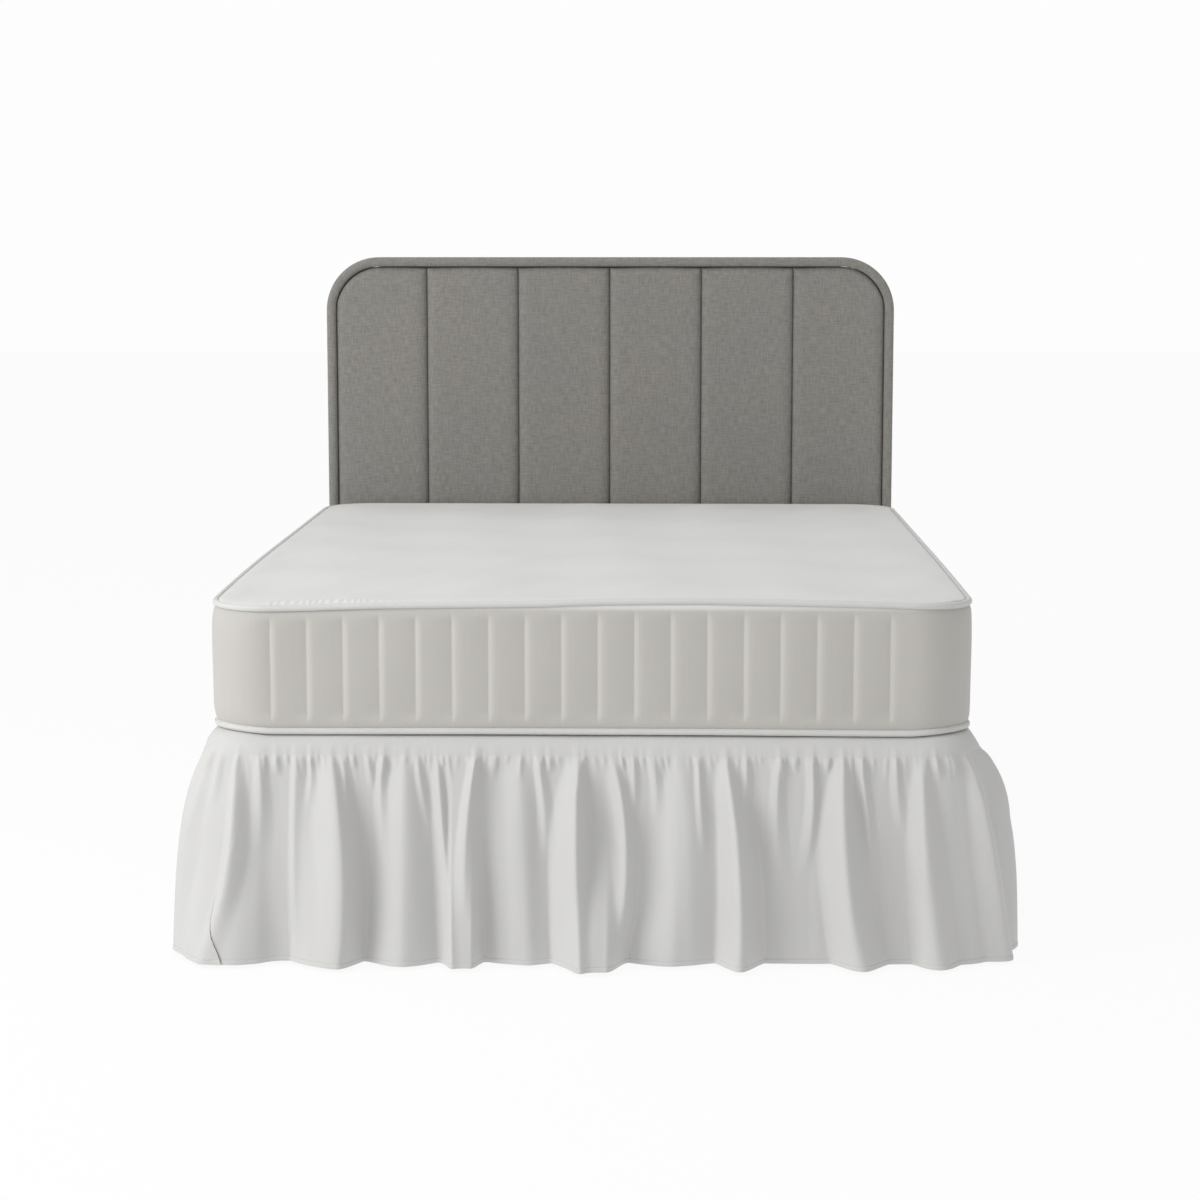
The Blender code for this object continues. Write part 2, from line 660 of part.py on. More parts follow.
def mattress_tape(name, upper, material):
    """The sewn tape that rolls round the mattress's edge."""
    end = MATTRESS_HALF - MATTRESS_CORNER
    across = [-end] + [row.x for row in SETTLED if abs(row.x) < end]
    low, high = MATTRESS_FOOT + MATTRESS_CORNER, MATTRESS_HEAD - MATTRESS_CORNER
    stations = round_mattress(across, spread(low, high, 12)[:-1], 6)
    sides = 6
    points = []
    for st in stations:
        z = tape_height(st, upper)
        for k in range(sides):
            turn = 2 * math.pi * k / sides
            points.append(out_from(st, TAPE_RADIUS * math.cos(turn), z + TAPE_RADIUS * math.sin(turn)))
    faces = []
    count = len(stations)
    for i in range(count):
        for k in range(sides):
            a, b = i * sides + k, i * sides + (k + 1) % sides
            c, d = ((i + 1) % count) * sides + (k + 1) % sides, ((i + 1) % count) * sides + k
            faces.append((a, b, c, d))
    return add_object(name, points, faces, material, math.radians(60))


# ---------------------------------------------------------------- the headboard


def board_outline(half, top, radius, steps):
    """(x, z) from the floor at the left, over the rounded top, to the floor at the right."""
    line = [(-half, 0.0)]
    for i in range(steps + 1):
        turn = math.pi / 2 * i / steps
        line.append((-half + radius - radius * math.cos(turn), top - radius + radius * math.sin(turn)))
    return line + [(-x, z) for x, z in line[::-1]]


def board(material):
    """The upholstered board: thick behind the base, thinner behind the pads."""
    half = BOARD_HALF - RIM_WIDTH - GAP
    top = BOARD_TOP - RIM_WIDTH - GAP
    radius = BOARD_CORNER - RIM_WIDTH
    outline = board_outline(half, top, radius, 8)
    step_z = PAD_BOTTOM - 2 * GAP
    plate = [[Vector((x, y, z)) for x, z in outline] for y in (BOARD_FRONT, BOARD_BACK)]
    upper = ring_stack("headboard_board", plate, material, math.radians(30))
    corners = [(-half, 0.0), (half, 0.0), (half, step_z), (-half, step_z)]
    lower = [[Vector((x, y, z)) for x, z in corners] for y in (HEAD_Y, (BOARD_FRONT + BOARD_BACK) / 2)]
    block = ring_stack("board_thickening", lower, material, None)
    block.hide_render = True
    block.display_type = "WIRE"
    union = upper.modifiers.new("thick_foot", "BOOLEAN")
    union.operation = "UNION"
    union.object = block
    return upper


def pad_top(x):
    """Height of the pads' upper edge at x: the rim's inner edge, rounded at its corners."""
    half = BOARD_HALF - RIM_WIDTH - GAP
    arc = board_outline(half, BOARD_TOP - RIM_WIDTH - GAP, BOARD_CORNER - RIM_WIDTH, 8)[1:10]
    return along_table(arc, -abs(x))


def pads(material):
    """Six upright padded channels, drawn in along the seams between them."""
    half = BOARD_HALF - RIM_WIDTH - GAP
    width = 2 * half / PAD_COUNT
    for number in range(PAD_COUNT):
        left = -half + number * width + GAP / 2
        right = left + width - GAP
        columns = [left, left + 0.006, left + 0.02] + spread(left + 0.05, right - 0.05, 3)
        columns += [right - 0.02, right - 0.006, right]
        grid = []
        for share in (0.0, 0.008, 0.03, 0.35, 0.7, 0.88, 0.96, 0.985, 1.0):
            row = []
            for x in columns:
                top = pad_top(x) - 2 * GAP
                z = PAD_BOTTOM + (top - PAD_BOTTOM) * share
                edge = min(x - left, right - x, z - PAD_BOTTOM, top - z)
                rise = math.sqrt(max(0.0, 1 - (1 - min(1.0, edge / PAD_ROLL)) ** 2))
                y = BOARD_FRONT - GAP - PAD_EDGE - (PAD_DEPTH - PAD_EDGE - GAP) * rise
                row.append(Vector((x, y, z)))
            grid.append(row)
        back = [[Vector((p.x, BOARD_FRONT - GAP, p.z)) for p in row] for row in grid]
        two_faced_solid(f"headboard_pad_{number + 1}", grid, back, material)


def two_faced_solid(name, front, back, material):
    """A solid between two grids of the same size."""
    rows, columns = len(front), len(front[0])
    count = rows * columns
    points = [p for row in front for p in row] + [p for row in back for p in row]
    faces = grid_faces(rows, columns)
    rim = [column for column in range(columns)]
    rim += [row * columns + columns - 1 for row in range(1, rows)]
    rim += [(rows - 1) * columns + column for column in range(columns - 2, -1, -1)]
    rim += [row * columns for row in range(rows - 2, 0, -1)]
    for a, b in zip(rim, rim[1:] + rim[:1]):
        faces.append((a, a + count, b + count, b))
    faces.append(tuple(i + count for i in rim))
    return add_object(name, points, faces, material, math.radians(40))


def rim(material):
    """The padded border that frames the headboard from floor to floor."""
    centre = BOARD_HALF - RIM_WIDTH / 2
    outline = board_outline(centre, BOARD_TOP - RIM_WIDTH / 2, BOARD_CORNER - RIM_WIDTH / 2, 8)
    front, back = HEAD_Y + 0.001, BOARD_BACK
    round_off = 0.009
    half = RIM_WIDTH / 2
    section = [
        (-half, front + round_off), (-half + round_off * 0.7, front + 0.002), (0.0, front),
        (half - round_off * 0.7, front + 0.002), (half, front + round_off),
        (half, back - 0.003), (half - 0.003, back), (-half + 0.003, back), (-half, back - 0.003),
    ]
    points = []
    for i, (x, z) in enumerate(outline):
        before = outline[max(i - 1, 0)]
        after = outline[min(i + 1, len(outline) - 1)]
        if i in (0, 1):
            way = (0.0, 1.0)
        elif i in (len(outline) - 1, len(outline) - 2):
            way = (0.0, -1.0)
        else:
            size = math.hypot(after[0] - before[0], after[1] - before[1])
            way = ((after[0] - before[0]) / size, (after[1] - before[1]) / size)
        outward = (-way[1], way[0])
        for off, y in section:
            points.append(Vector((x + outward[0] * off, y, z + outward[1] * off)))
    sides = len(section)
    faces = []
    for i in range(len(outline) - 1):
        for k in range(sides):
            a, b = i * sides + k, i * sides + (k + 1) % sides
            faces.append((a, b, b + sides, a + sides))
    last = (len(outline) - 1) * sides
    faces.append(tuple(range(sides)))
    faces.append(tuple(range(last + sides - 1, last - 1, -1)))
    return add_object("headboard_rim", points, faces, material, math.radians(40))


# ----------------------------------------------------------------------- the bed


def build():
    for old in list(bpy.data.objects):
        bpy.data.objects.remove(old)
    skirt_cloth = cloth_material("skirt_cotton", (0.78, 0.78, 0.77), 0.85)
    ticking = cloth_material("mattress_knit", (0.77, 0.76, 0.73), 0.85)
    tape = cloth_material("mattress_tape", (0.80, 0.80, 0.78), 0.7)
    divan = cloth_material("divan_cloth", (0.62, 0.61, 0.58), 0.9)
    velvet = cloth_material("headboard_cloth", (0.235, 0.225, 0.21), 0.9)
    black = cloth_material("leg_plastic", (0.03, 0.03, 0.03), 0.45)
    base(divan)
    legs(black)
    deck(skirt_cloth)
    band(skirt_cloth)
    foot_drop(skirt_cloth)
    side_drop("drop_left", -1, skirt_cloth)
    side_drop("drop_right", 1, skirt_cloth)
    mattress(ticking)
    mattress_tape("mattress_tape_top", True, tape)
    mattress_tape("mattress_tape_bottom", False, tape)
    board(velvet)
    pads(velvet)
    rim(velvet)


build()
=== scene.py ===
# %% [markdown]
# # A gathered bed skirt on the bed that it dresses
#
# A bed skirt hides the base of a bed. It is a flat deck that lies under the
# mattress, a band that turns over the edge of the base, and three long strips of
# cotton that are drawn up on a thread, the gathers, and sewn to the band. Below the
# seam the spare cloth has to go somewhere, so it falls in folds down to the floor.
#
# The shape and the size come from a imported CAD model, which stays fixed. This script
# gives it its looks: each cloth piece is made again as a finer mesh on the same
# folds, and every surface gets a procedural material.
#
# Metres, +Z up. -Y is the foot of the bed and +X its right-hand side, seen from the
# foot.

# %% Load the CAD model
import math
from collections import namedtuple

import bpy
import numpy as np
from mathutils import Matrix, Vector


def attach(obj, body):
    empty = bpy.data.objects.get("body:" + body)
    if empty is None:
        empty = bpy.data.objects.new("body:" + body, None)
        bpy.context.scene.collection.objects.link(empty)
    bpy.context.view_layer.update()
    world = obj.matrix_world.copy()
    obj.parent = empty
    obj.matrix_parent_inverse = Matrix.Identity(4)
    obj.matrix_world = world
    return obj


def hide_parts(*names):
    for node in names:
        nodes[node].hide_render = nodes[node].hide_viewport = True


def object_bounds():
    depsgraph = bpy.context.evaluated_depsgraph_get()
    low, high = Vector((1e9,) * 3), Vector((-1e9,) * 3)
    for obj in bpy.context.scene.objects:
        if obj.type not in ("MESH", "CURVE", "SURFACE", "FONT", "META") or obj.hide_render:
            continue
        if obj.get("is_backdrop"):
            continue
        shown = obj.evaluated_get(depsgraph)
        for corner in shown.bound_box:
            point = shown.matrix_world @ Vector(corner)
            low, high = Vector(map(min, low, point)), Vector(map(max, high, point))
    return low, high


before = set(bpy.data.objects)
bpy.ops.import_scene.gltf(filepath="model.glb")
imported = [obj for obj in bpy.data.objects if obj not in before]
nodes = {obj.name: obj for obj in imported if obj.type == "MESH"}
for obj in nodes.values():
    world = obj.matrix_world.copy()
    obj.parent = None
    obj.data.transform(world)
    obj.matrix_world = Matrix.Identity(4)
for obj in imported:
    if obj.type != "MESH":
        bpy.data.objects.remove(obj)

cad_box = [list(corner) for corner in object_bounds()]
scene = bpy.context.scene
print(f"{len(nodes)} CAD nodes, from {np.round(cad_box[0], 3)} to {np.round(cad_box[1], 3)} m")

# %% [markdown]
# ## The camera
#
# The picture was taken from beyond the foot of the bed, a little above the mattress,
# with a long lens. A long lens from far away keeps the sides of the skirt almost
# parallel. The place comes from fitting the bed's known edges to the picture.

# %% The camera at the picture's viewpoint
LENS_MM, SENSOR_MM = 80.4, 36
CAMERA_PLACE = (0.136, -6.099, 1.388)
LOOKS_DOWN, LOOKS_LEFT = 7.49, 1.30      # degrees

camera = bpy.data.objects.new("camera", bpy.data.cameras.new("camera"))
scene.collection.objects.link(camera)
camera.data.lens = LENS_MM
camera.data.sensor_width = SENSOR_MM
camera.location = CAMERA_PLACE
camera.rotation_euler = (math.radians(90 - LOOKS_DOWN), 0, math.radians(LOOKS_LEFT))
scene.camera = camera
print(f"camera {-CAMERA_PLACE[1] + cad_box[0][1]:.2f} m beyond the foot, {LENS_MM} mm lens")

# %% [markdown]
# ## The light
#
# The picture has the even light of a white studio. Some of it comes from everywhere,
# some from above, and the rest from a wide window on the left in front, a few metres
# away. It brightens the left flank of each fold, and it falls off a little towards
# the right. What the camera itself sees of the world is plain white, so the object
# stands before a clean background.

# %% A white studio
EVEN_LIGHT = 0.43
BACKDROP = 0.985
WINDOW_PLACE, WINDOW_AIM = (-4.2, -3.3, 3.2), (0.0, -0.6, 0.45)
WINDOW_SIZE, WINDOW_WATTS = 3.0, 178
CEILING_STRENGTH = 0.90                      # a sun lamp, its angles in degrees
CEILING_ANGLE, CEILING_TILT, CEILING_TURN = 100, 6, -20
WHITE = (1, 1, 1, 1)

world = bpy.data.worlds.new("studio")
scene.world = world
world.use_nodes = True
air = world.node_tree
even = air.nodes["Background"]
even.inputs["Color"].default_value = WHITE
even.inputs["Strength"].default_value = EVEN_LIGHT
backdrop = air.nodes.new("ShaderNodeBackground")
backdrop.inputs["Color"].default_value = WHITE
backdrop.inputs["Strength"].default_value = BACKDROP
chooser = air.nodes.new("ShaderNodeMixShader")
ray = air.nodes.new("ShaderNodeLightPath")
air.links.new(ray.outputs["Is Camera Ray"], chooser.inputs["Fac"])
air.links.new(even.outputs["Background"], chooser.inputs[1])
air.links.new(backdrop.outputs["Background"], chooser.inputs[2])
air.links.new(chooser.outputs["Shader"], air.nodes["World Output"].inputs["Surface"])

window = bpy.data.objects.new("window", bpy.data.lights.new("window", "AREA"))
window.data.shape = "DISK"
window.data.size = WINDOW_SIZE
window.data.energy = WINDOW_WATTS
window.location = WINDOW_PLACE
way = Vector(WINDOW_AIM) - Vector(WINDOW_PLACE)
window.rotation_euler = way.to_track_quat("-Z", "Y").to_euler()
ceiling = bpy.data.objects.new("ceiling", bpy.data.lights.new("ceiling", "SUN"))
ceiling.data.energy = CEILING_STRENGTH
ceiling.data.angle = math.radians(CEILING_ANGLE)
ceiling.rotation_euler = (math.radians(CEILING_TILT), 0, math.radians(CEILING_TURN))
for lamp in (window, ceiling):
    scene.collection.objects.link(lamp)
scene.view_settings.view_transform = "Standard"
print(f"even light {EVEN_LIGHT}, a window of {WINDOW_WATTS} W and a ceiling of {CEILING_STRENGTH}")

# %% [markdown]
# ## Helpers for nodes
#
# Every finish below is a small node tree, so a few helpers keep the cells short. They
# add a node with its settings, do sums, blend two colours and start a group with
# named sockets.


# %% Node helpers
MIX_LOW, MIX_HIGH, MIX_RESULT = 6, 7, 2      # the Mix node's colour sockets


def add_node(tree, kind, settings=None, **inputs):
    """A node with its settings, and its inputs filled with values or wired to sockets.

    An input is named, with _ for a space, or numbered, as in _0.
    """
    made = tree.nodes.new(kind)
    for key, value in (settings or {}).items():
        setattr(made, key, value)
    for key, value in inputs.items():
        socket = made.inputs[int(key[1:]) if key[1:].isdigit() else key.replace("_", " ")]
        if isinstance(value, bpy.types.NodeSocket):
            tree.links.new(value, socket)
        else:
            socket.default_value = value
    return made


def math_node(tree, operation, first, second=0.0):
    made = add_node(tree, "ShaderNodeMath", {"operation": operation}, _0=first, _1=second)
    return made.outputs[0]


def blend_colours(tree, share, low, high):
    """Colour `low` where share is 0 and `high` where it is 1."""
    ends = {}
    for place, value in ((MIX_LOW, low), (MIX_HIGH, high)):
        ends[f"_{place}"] = value if isinstance(value, bpy.types.NodeSocket) else (*value, 1)
    made = add_node(tree, "ShaderNodeMix", {"data_type": "RGBA"}, Factor=share, **ends)
    return made.outputs[MIX_RESULT]


def start_group(name, sockets_in, sockets_out):
    """An empty shader node group. Each socket is (name, kind, default)."""
    group = bpy.data.node_groups.new(name, "ShaderNodeTree")
    for label, kind, default in sockets_in:
        socket = group.interface.new_socket(label, in_out="INPUT", socket_type=kind)
        if default is not None:
            socket.default_value = default
    for label, kind in sockets_out:
        group.interface.new_socket(label, in_out="OUTPUT", socket_type=kind)
    inside, out = group.nodes.new("NodeGroupInput"), group.nodes.new("NodeGroupOutput")
    return group, inside.outputs, out.inputs


# %% [markdown]
# ## Finishes that repeat
#
# Three effects serve several cloths. A plain weave is two sets of threads at right
# angles, each thread a tiny ridge; yarn is never quite even, so a few threads stand
# out as fine streaks. Cloth also changes tone a little over a hand's breadth. One
# group makes the weave with its streaks and another the tone, so each cloth can place
# them with its own scale.


# %% A plain weave, from a UV map in metres
STREAKS_PER_METRE = 9.0      # changes of tone along a thread


def plain_weave():
    group, inside, out = start_group(
        "plain weave",
        [
            ("Place", "NodeSocketVector", None),
            ("Threads per metre", "NodeSocketFloat", 2000.0),
            ("Streak width", "NodeSocketFloat", 0.003),
        ],
        [("Height", "NodeSocketFloat"), ("Streak", "NodeSocketFloat")],
    )
    apart = add_node(group, "ShaderNodeSeparateXYZ", Vector=inside["Place"])
    ridges = []
    for axis in ("X", "Y"):
        turn = math_node(group, "MULTIPLY", apart.outputs[axis], inside["Threads per metre"])
        turn = math_node(group, "MULTIPLY", turn, math.pi)
        ridges.append(math_node(group, "ABSOLUTE", math_node(group, "SINE", turn)))
    threads = math_node(group, "ADD", *ridges)
    across = math_node(group, "DIVIDE", apart.outputs["X"], inside["Streak width"])
    down = math_node(group, "MULTIPLY", apart.outputs["Y"], STREAKS_PER_METRE)
    long_place = add_node(group, "ShaderNodeCombineXYZ", X=across, Y=down).outputs[0]
    streak = add_node(group, "ShaderNodeTexNoise", Vector=long_place, Scale=1.0, Detail=2.0)
    group.links.new(math_node(group, "MULTIPLY", threads, 0.5), out["Height"])
    group.links.new(streak.outputs["Fac"], out["Streak"])
    return group


weave_group = plain_weave()


# %% Soft change of tone, from Object coordinates
def uneven_tone():
    group, inside, out = start_group(
        "uneven tone",
        [("Place", "NodeSocketVector", None), ("Patch size", "NodeSocketFloat", 0.25)],
        [("Tone", "NodeSocketFloat")],
    )
    scale = math_node(group, "DIVIDE", 1.0, inside["Patch size"])
    broad = add_node(
        group, "ShaderNodeTexNoise", Vector=inside["Place"], Scale=scale, Detail=3.0, Roughness=0.55
    ).outputs["Fac"]
    eased = add_node(group, "ShaderNodeMapRange", Value=broad, From_Min=0.3, From_Max=0.7)
    group.links.new(eased.outputs["Result"], out["Tone"])
    return group


tone_group = uneven_tone()
print("groups:", weave_group.name, "and", tone_group.name)


# %% [markdown]
# ## The cloths
#
# The skirt is white cotton. Cloth scatters light at grazing angles, which the
# shader's sheen gives, and it is never glossy. A finish has its colour from the
# streaks and the tone, and its bump from the threads.


# %% What the finishes share
STREAK_SHARE, TONE_SHARE = 0.6, 0.4      # how much each changes the colour


def start_finish(name, roughness, sheen=0.25, sheen_roughness=0.5, specular=0.25):
    """A new material with its shader set up: the material, its tree and the shader."""
    material = bpy.data.materials.new(name)
    material.use_nodes = True
    shader = material.node_tree.nodes["Principled BSDF"]
    settings = (
        ("Roughness", roughness), ("Sheen Weight", sheen),
        ("Sheen Roughness", sheen_roughness), ("Specular IOR Level", specular),
    )
    for label, value in settings:
        shader.inputs[label].default_value = value
    return material, material.node_tree, shader


def woven(tree, flat_place, place, threads, streak_width, patch):
    """The two groups in a material: the weave's height, its streaks and the soft tone."""
    weave = add_node(
        tree, "ShaderNodeGroup", {"node_tree": weave_group},
        Place=flat_place, Threads_per_metre=threads, Streak_width=streak_width,
    ).outputs
    tone = add_node(
        tree, "ShaderNodeGroup", {"node_tree": tone_group}, Place=place, Patch_size=patch
    ).outputs["Tone"]
    return weave["Height"], weave["Streak"], tone


def mottled(tree, streak, tone):
    """Streaks and tone as one share, to blend two colours by."""
    streaks = math_node(tree, "MULTIPLY", streak, STREAK_SHARE)
    return math_node(tree, "ADD", streaks, math_node(tree, "MULTIPLY", tone, TONE_SHARE))


def end_finish(tree, shader, colour, height, bump_mm, strength=1.0):
    """Wires a colour and a bump to the shader."""
    bump = add_node(
        tree, "ShaderNodeBump", Height=height, Distance=bump_mm / 1000, Strength=strength
    )
    tree.links.new(colour, shader.inputs["Base Color"])
    tree.links.new(bump.outputs["Normal"], shader.inputs["Normal"])


# %% A cloth material from the groups
PANEL_BLEND = 0.004      # half the height over which one cloth gives way to the other


def cloth(name, light, dark, threads, streak_width, patch, bump_mm, panel=None):
    """A woven finish that follows the piece's UV map.

    `panel` is (height, light, dark) of a second cloth, which takes over above that height.
    """
    material, tree, shader = start_finish(name, roughness=0.85)
    place = add_node(tree, "ShaderNodeTexCoord").outputs
    height, *marks = woven(tree, place["UV"], place["Object"], threads, streak_width, patch)
    share = mottled(tree, *marks)
    colour = blend_colours(tree, share, dark, light)
    if panel:
        level, panel_light, panel_dark = panel
        apart = add_node(tree, "ShaderNodeSeparateXYZ", Vector=place["Object"])
        above = add_node(
            tree, "ShaderNodeMapRange", Value=apart.outputs["Z"],
            From_Min=level - PANEL_BLEND, From_Max=level + PANEL_BLEND,
        ).outputs["Result"]
        panel_colour = blend_colours(tree, share, panel_dark, panel_light)
        colour = blend_colours(tree, above, colour, panel_colour)
    end_finish(tree, shader, colour, height, bump_mm)
    return material


cotton = cloth(
    "skirt_cotton", light=(0.60, 0.597, 0.586), dark=(0.555, 0.550, 0.537),
    threads=2200, streak_width=0.0028, patch=0.30, bump_mm=0.05,
)
print("cloth:", cotton.name)

# %% [markdown]
# ## Meshes from grids
#
# A hung strip of cloth is a grid of points: rows go down and columns follow the
# threads. numpy works out all the points at once, which is far quicker than a loop.
# Each grid also gets a UV map in metres along the cloth, so that a weave keeps its
# size where the cloth is gathered.


# %% Objects from points and faces
SHEET_THICK, SHARP_RIM = 0.0012, 70      # of the fine cloth; the angle is in degrees


def smooth_step(t):
    t = np.clip(t, 0.0, 1.0)
    return t * t * (3 - 2 * t)


def place_object(name, mesh):
    made = bpy.data.objects.new(name, mesh)
    scene.collection.objects.link(made)
    return made


def cloth_object(name, points, cloth_place, faces, material):
    """A smooth mesh with its UV map in metres: cloth_place has one row for each point."""
    mesh = bpy.data.meshes.new(name)
    mesh.from_pydata(points.tolist(), [], faces)
    layer = mesh.uv_layers.new(name="cloth")
    corners = np.empty(len(mesh.loops), np.int32)
    mesh.loops.foreach_get("vertex_index", corners)
    layer.data.foreach_set("uv", cloth_place[corners].astype(np.float32).ravel())
    mesh.shade_smooth()
    mesh.materials.append(material)
    return place_object(name, mesh)


def grid_object(name, points, cloth_place, material, around=False, caps=False):
    """points[row, column] with cloth_place[row, column] as its UV map.

    Faces turn outwards if rows go down as columns go anticlockwise.
    """
    rows, columns = points.shape[:2]
    wide = columns if around else columns - 1
    row, column = np.meshgrid(np.arange(rows - 1), np.arange(wide), indexing="ij")
    after = (column + 1) % columns
    here, below = row * columns, (row + 1) * columns
    quads = np.stack([here + column, below + column, below + after, here + after], axis=-1)
    faces = [tuple(q) for q in quads.reshape(-1, 4).tolist()]
    if caps:
        faces.append(tuple(range(columns)))
        faces.append(tuple(range(rows * columns - 1, (rows - 1) * columns - 1, -1)))
    return cloth_object(name, points.reshape(-1, 3), cloth_place.reshape(-1, 2), faces, material)


def evaluated(piece):
    return piece.evaluated_get(bpy.context.evaluated_depsgraph_get())


def thicken(piece):
    """Gives a sheet its thickness, inwards from the face that shows.

    Its cut edges stay sharp, so they cast no soft line.
    """
    solid = piece.modifiers.new("cloth thickness", "SOLIDIFY")
    solid.thickness = SHEET_THICK
    solid.offset = -1
    thin = piece.data
    piece.data = bpy.data.meshes.new_from_object(evaluated(piece))
    piece.modifiers.clear()
    bpy.data.meshes.remove(thin)
    piece.data.set_sharp_from_angle(angle=math.radians(SHARP_RIM))
    return piece


def triangles_of(piece):
    mesh = evaluated(piece).to_mesh()
    mesh.calc_loop_triangles()
    return len(mesh.loop_triangles)


# %% [markdown]
# ## The edge that the skirt hangs from
#
# The drops hang round the base's edge: across the foot, round two rounded corners and
# up the sides. Distance along that edge, measured from the middle of the foot, is
# the one coordinate that all the cloth shares. These sizes are the CAD model's own.

# %% The base's edge as a path
FOOT_Y, HEAD_Y = -0.998, 1.014
HALF_WIDTH = 0.760
CORNER_RADIUS = 0.115
BASE_TOP, BASE_EDGE_RADIUS = 0.450, 0.045
FLAT_FOOT = HALF_WIDTH - CORNER_RADIUS
CORNER_LENGTH = CORNER_RADIUS * math.pi / 2
SIDE_LENGTH = FLAT_FOOT + CORNER_LENGTH + HEAD_Y - FOOT_Y - CORNER_RADIUS


def edge_station(s):
    """x, y of the base's edge at distances s from the middle of the foot, and the way out."""
    side, along = np.where(s < 0, -1.0, 1.0), np.abs(s)
    turn = np.clip((along - FLAT_FOOT) / CORNER_RADIUS, 0, math.pi / 2)
    beyond = np.maximum(along - FLAT_FOOT - CORNER_LENGTH, 0)
    x = side * (np.minimum(along, FLAT_FOOT) + CORNER_RADIUS * np.sin(turn))
    y = FOOT_Y + CORNER_RADIUS * (1 - np.cos(turn)) + beyond
    return x, y, side * np.sin(turn), -np.cos(turn)


print(f"edge from the middle of the foot to the head: {SIDE_LENGTH:.3f} m")

# %% [markdown]
# ## The folds
#
# Folds in gathered cloth could be simulated, but a simulation puts them where it
# likes. Here each fold stands where the picture shows one, so they are rows of a
# table, as in the CAD model: where its crest runs, how wide its two flanks are, and
# how far it stands out. Light from the left needs the difference between a long left
# flank and a steep right one.

# %% The table of folds
# A crest runs from `top` on the seam through `bend` to `end`, in mm along the edge,
# and stops at `reach`, a share of the drop. `left`, `right` and `depth` are in mm.
Fold = namedtuple("Fold", "top bend end reach left right depth")

FOOT_FOLDS = [
    Fold(-641, -636, -640, 0.48, 22, 24, 11),
    Fold(-608, -608, -606, 0.10, 12, 12, 7),
    Fold(-568, -571, -552, 1.60, 16, 60, 11),
    Fold(-540, -541, -554, 0.30, 14, 16, 9),
    Fold(-502, -479, -489, 1.00, 98, 52, 62),
    Fold(-480, -470, -466, 0.30, 10, 16, 9),
    Fold(-460, -459, -458, 0.07, 8, 8, 6),
    Fold(-429, -424, -420, 0.17, 12, 13, 8),
    Fold(-400, -405, -398, 0.56, 17, 19, 11),
    Fold(-360, -355, -364, 1.00, 80, 84, 42),
    Fold(-334, -322, -306, 0.36, 12, 15, 8),
    Fold(-295, -279, -266, 1.00, 34, 22, 30),
    Fold(-284, -283, -282, 0.06, 8, 8, 6),
    Fold(-219, -238, -236, 0.78, 22, 24, 20),
    Fold(-186, -188, -190, 0.13, 12, 12, 6),
    Fold(-136, -134, -121, 1.00, 80, 64, 25),
    Fold(-101, -88, -84, 0.50, 15, 22, 11),
    Fold(-76, -75, -74, 0.08, 9, 10, 6),
    Fold(-24, -26, -20, 1.00, 62, 38, 62),
    Fold(-13, -18, -24, 0.17, 8, 10, 8),
    Fold(44, 70, 40, 1.00, 44, 32, 38),
    Fold(63, 63, 64, 0.07, 8, 8, 6),
    Fold(84, 87, 81, 0.32, 12, 13, 9),
    Fold(124, 129, 128, 0.32, 14, 18, 8),
    Fold(176, 182, 158, 1.00, 86, 90, 28),
    Fold(211, 215, 223, 0.46, 12, 15, 9),
    Fold(262, 288, 292, 1.00, 50, 50, 64),
    Fold(303, 302, 296, 0.42, 14, 18, 10),
    Fold(368, 362, 374, 0.66, 20, 26, 12),
    Fold(395, 396, 398, 0.08, 8, 10, 6),
    Fold(429, 431, 416, 0.56, 20, 14, 12),
    Fold(457, 458, 460, 0.09, 9, 10, 7),
    Fold(489, 494, 526, 1.00, 58, 56, 60),
    Fold(523, 539, 553, 0.72, 16, 20, 12),
    Fold(591, 595, 607, 0.36, 16, 18, 8),
    Fold(641, 648, 664, 1.00, 38, 40, 40),
    Fold(668, 670, 674, 0.12, 10, 12, 7),
    Fold(700, 702, 706, 0.10, 10, 10, 7),
    Fold(736, 748, 768, 1.00, 26, 50, 32),
]
LEFT_CORNER_FOLDS = [
    Fold(-683, -681, -714, 1.00, 24, 27, 30),
    Fold(-716, -720, -728, 0.26, 12, 14, 8),
    Fold(-748, -756, -768, 0.44, 16, 18, 9),
    Fold(-784, -790, -804, 1.00, 52, 60, 30),
]
RIGHT_CORNER_FOLDS = [
    Fold(806, 820, 846, 1.00, 62, 46, 52),
    Fold(796, 800, 806, 0.34, 70, 70, 10),
    Fold(838, 842, 850, 0.50, 26, 26, 12),
]

# Where two ridges run together into one broad fold, the cloth between them fills out
# below `start`: flat in the middle, and falling over `flank` at each side.
Filled = namedtuple("Filled", "place start half flank height")
FILLED = [
    Filled(-704, 0.40, 104, 96, 27),
    Filled(-246, -0.15, 44, 26, 52),
    Filled(8, 0.28, 70, 46, 72),
]

# Beyond the corners the side drops repeat a run of folds.
SideFold = namedtuple("SideFold", "step lean reach left right depth")
SIDE_START, SIDE_OFFSET, LAST_FOLD = 905, 22, 20      # mm from the foot's middle, and from the end
SIDE_RUN = [
    SideFold(104, 14, 1.00, 62, 48, 54),
    SideFold(66, -10, 0.42, 20, 24, 11),
    SideFold(58, 22, 1.00, 54, 60, 40),
    SideFold(96, -16, 1.00, 60, 30, 62),
    SideFold(54, 8, 0.60, 22, 20, 11),
    SideFold(82, 12, 1.00, 66, 52, 48),
    SideFold(118, -8, 1.00, 48, 44, 58),
    SideFold(60, 10, 0.36, 20, 22, 11),
    SideFold(74, -14, 1.00, 56, 64, 34),
]


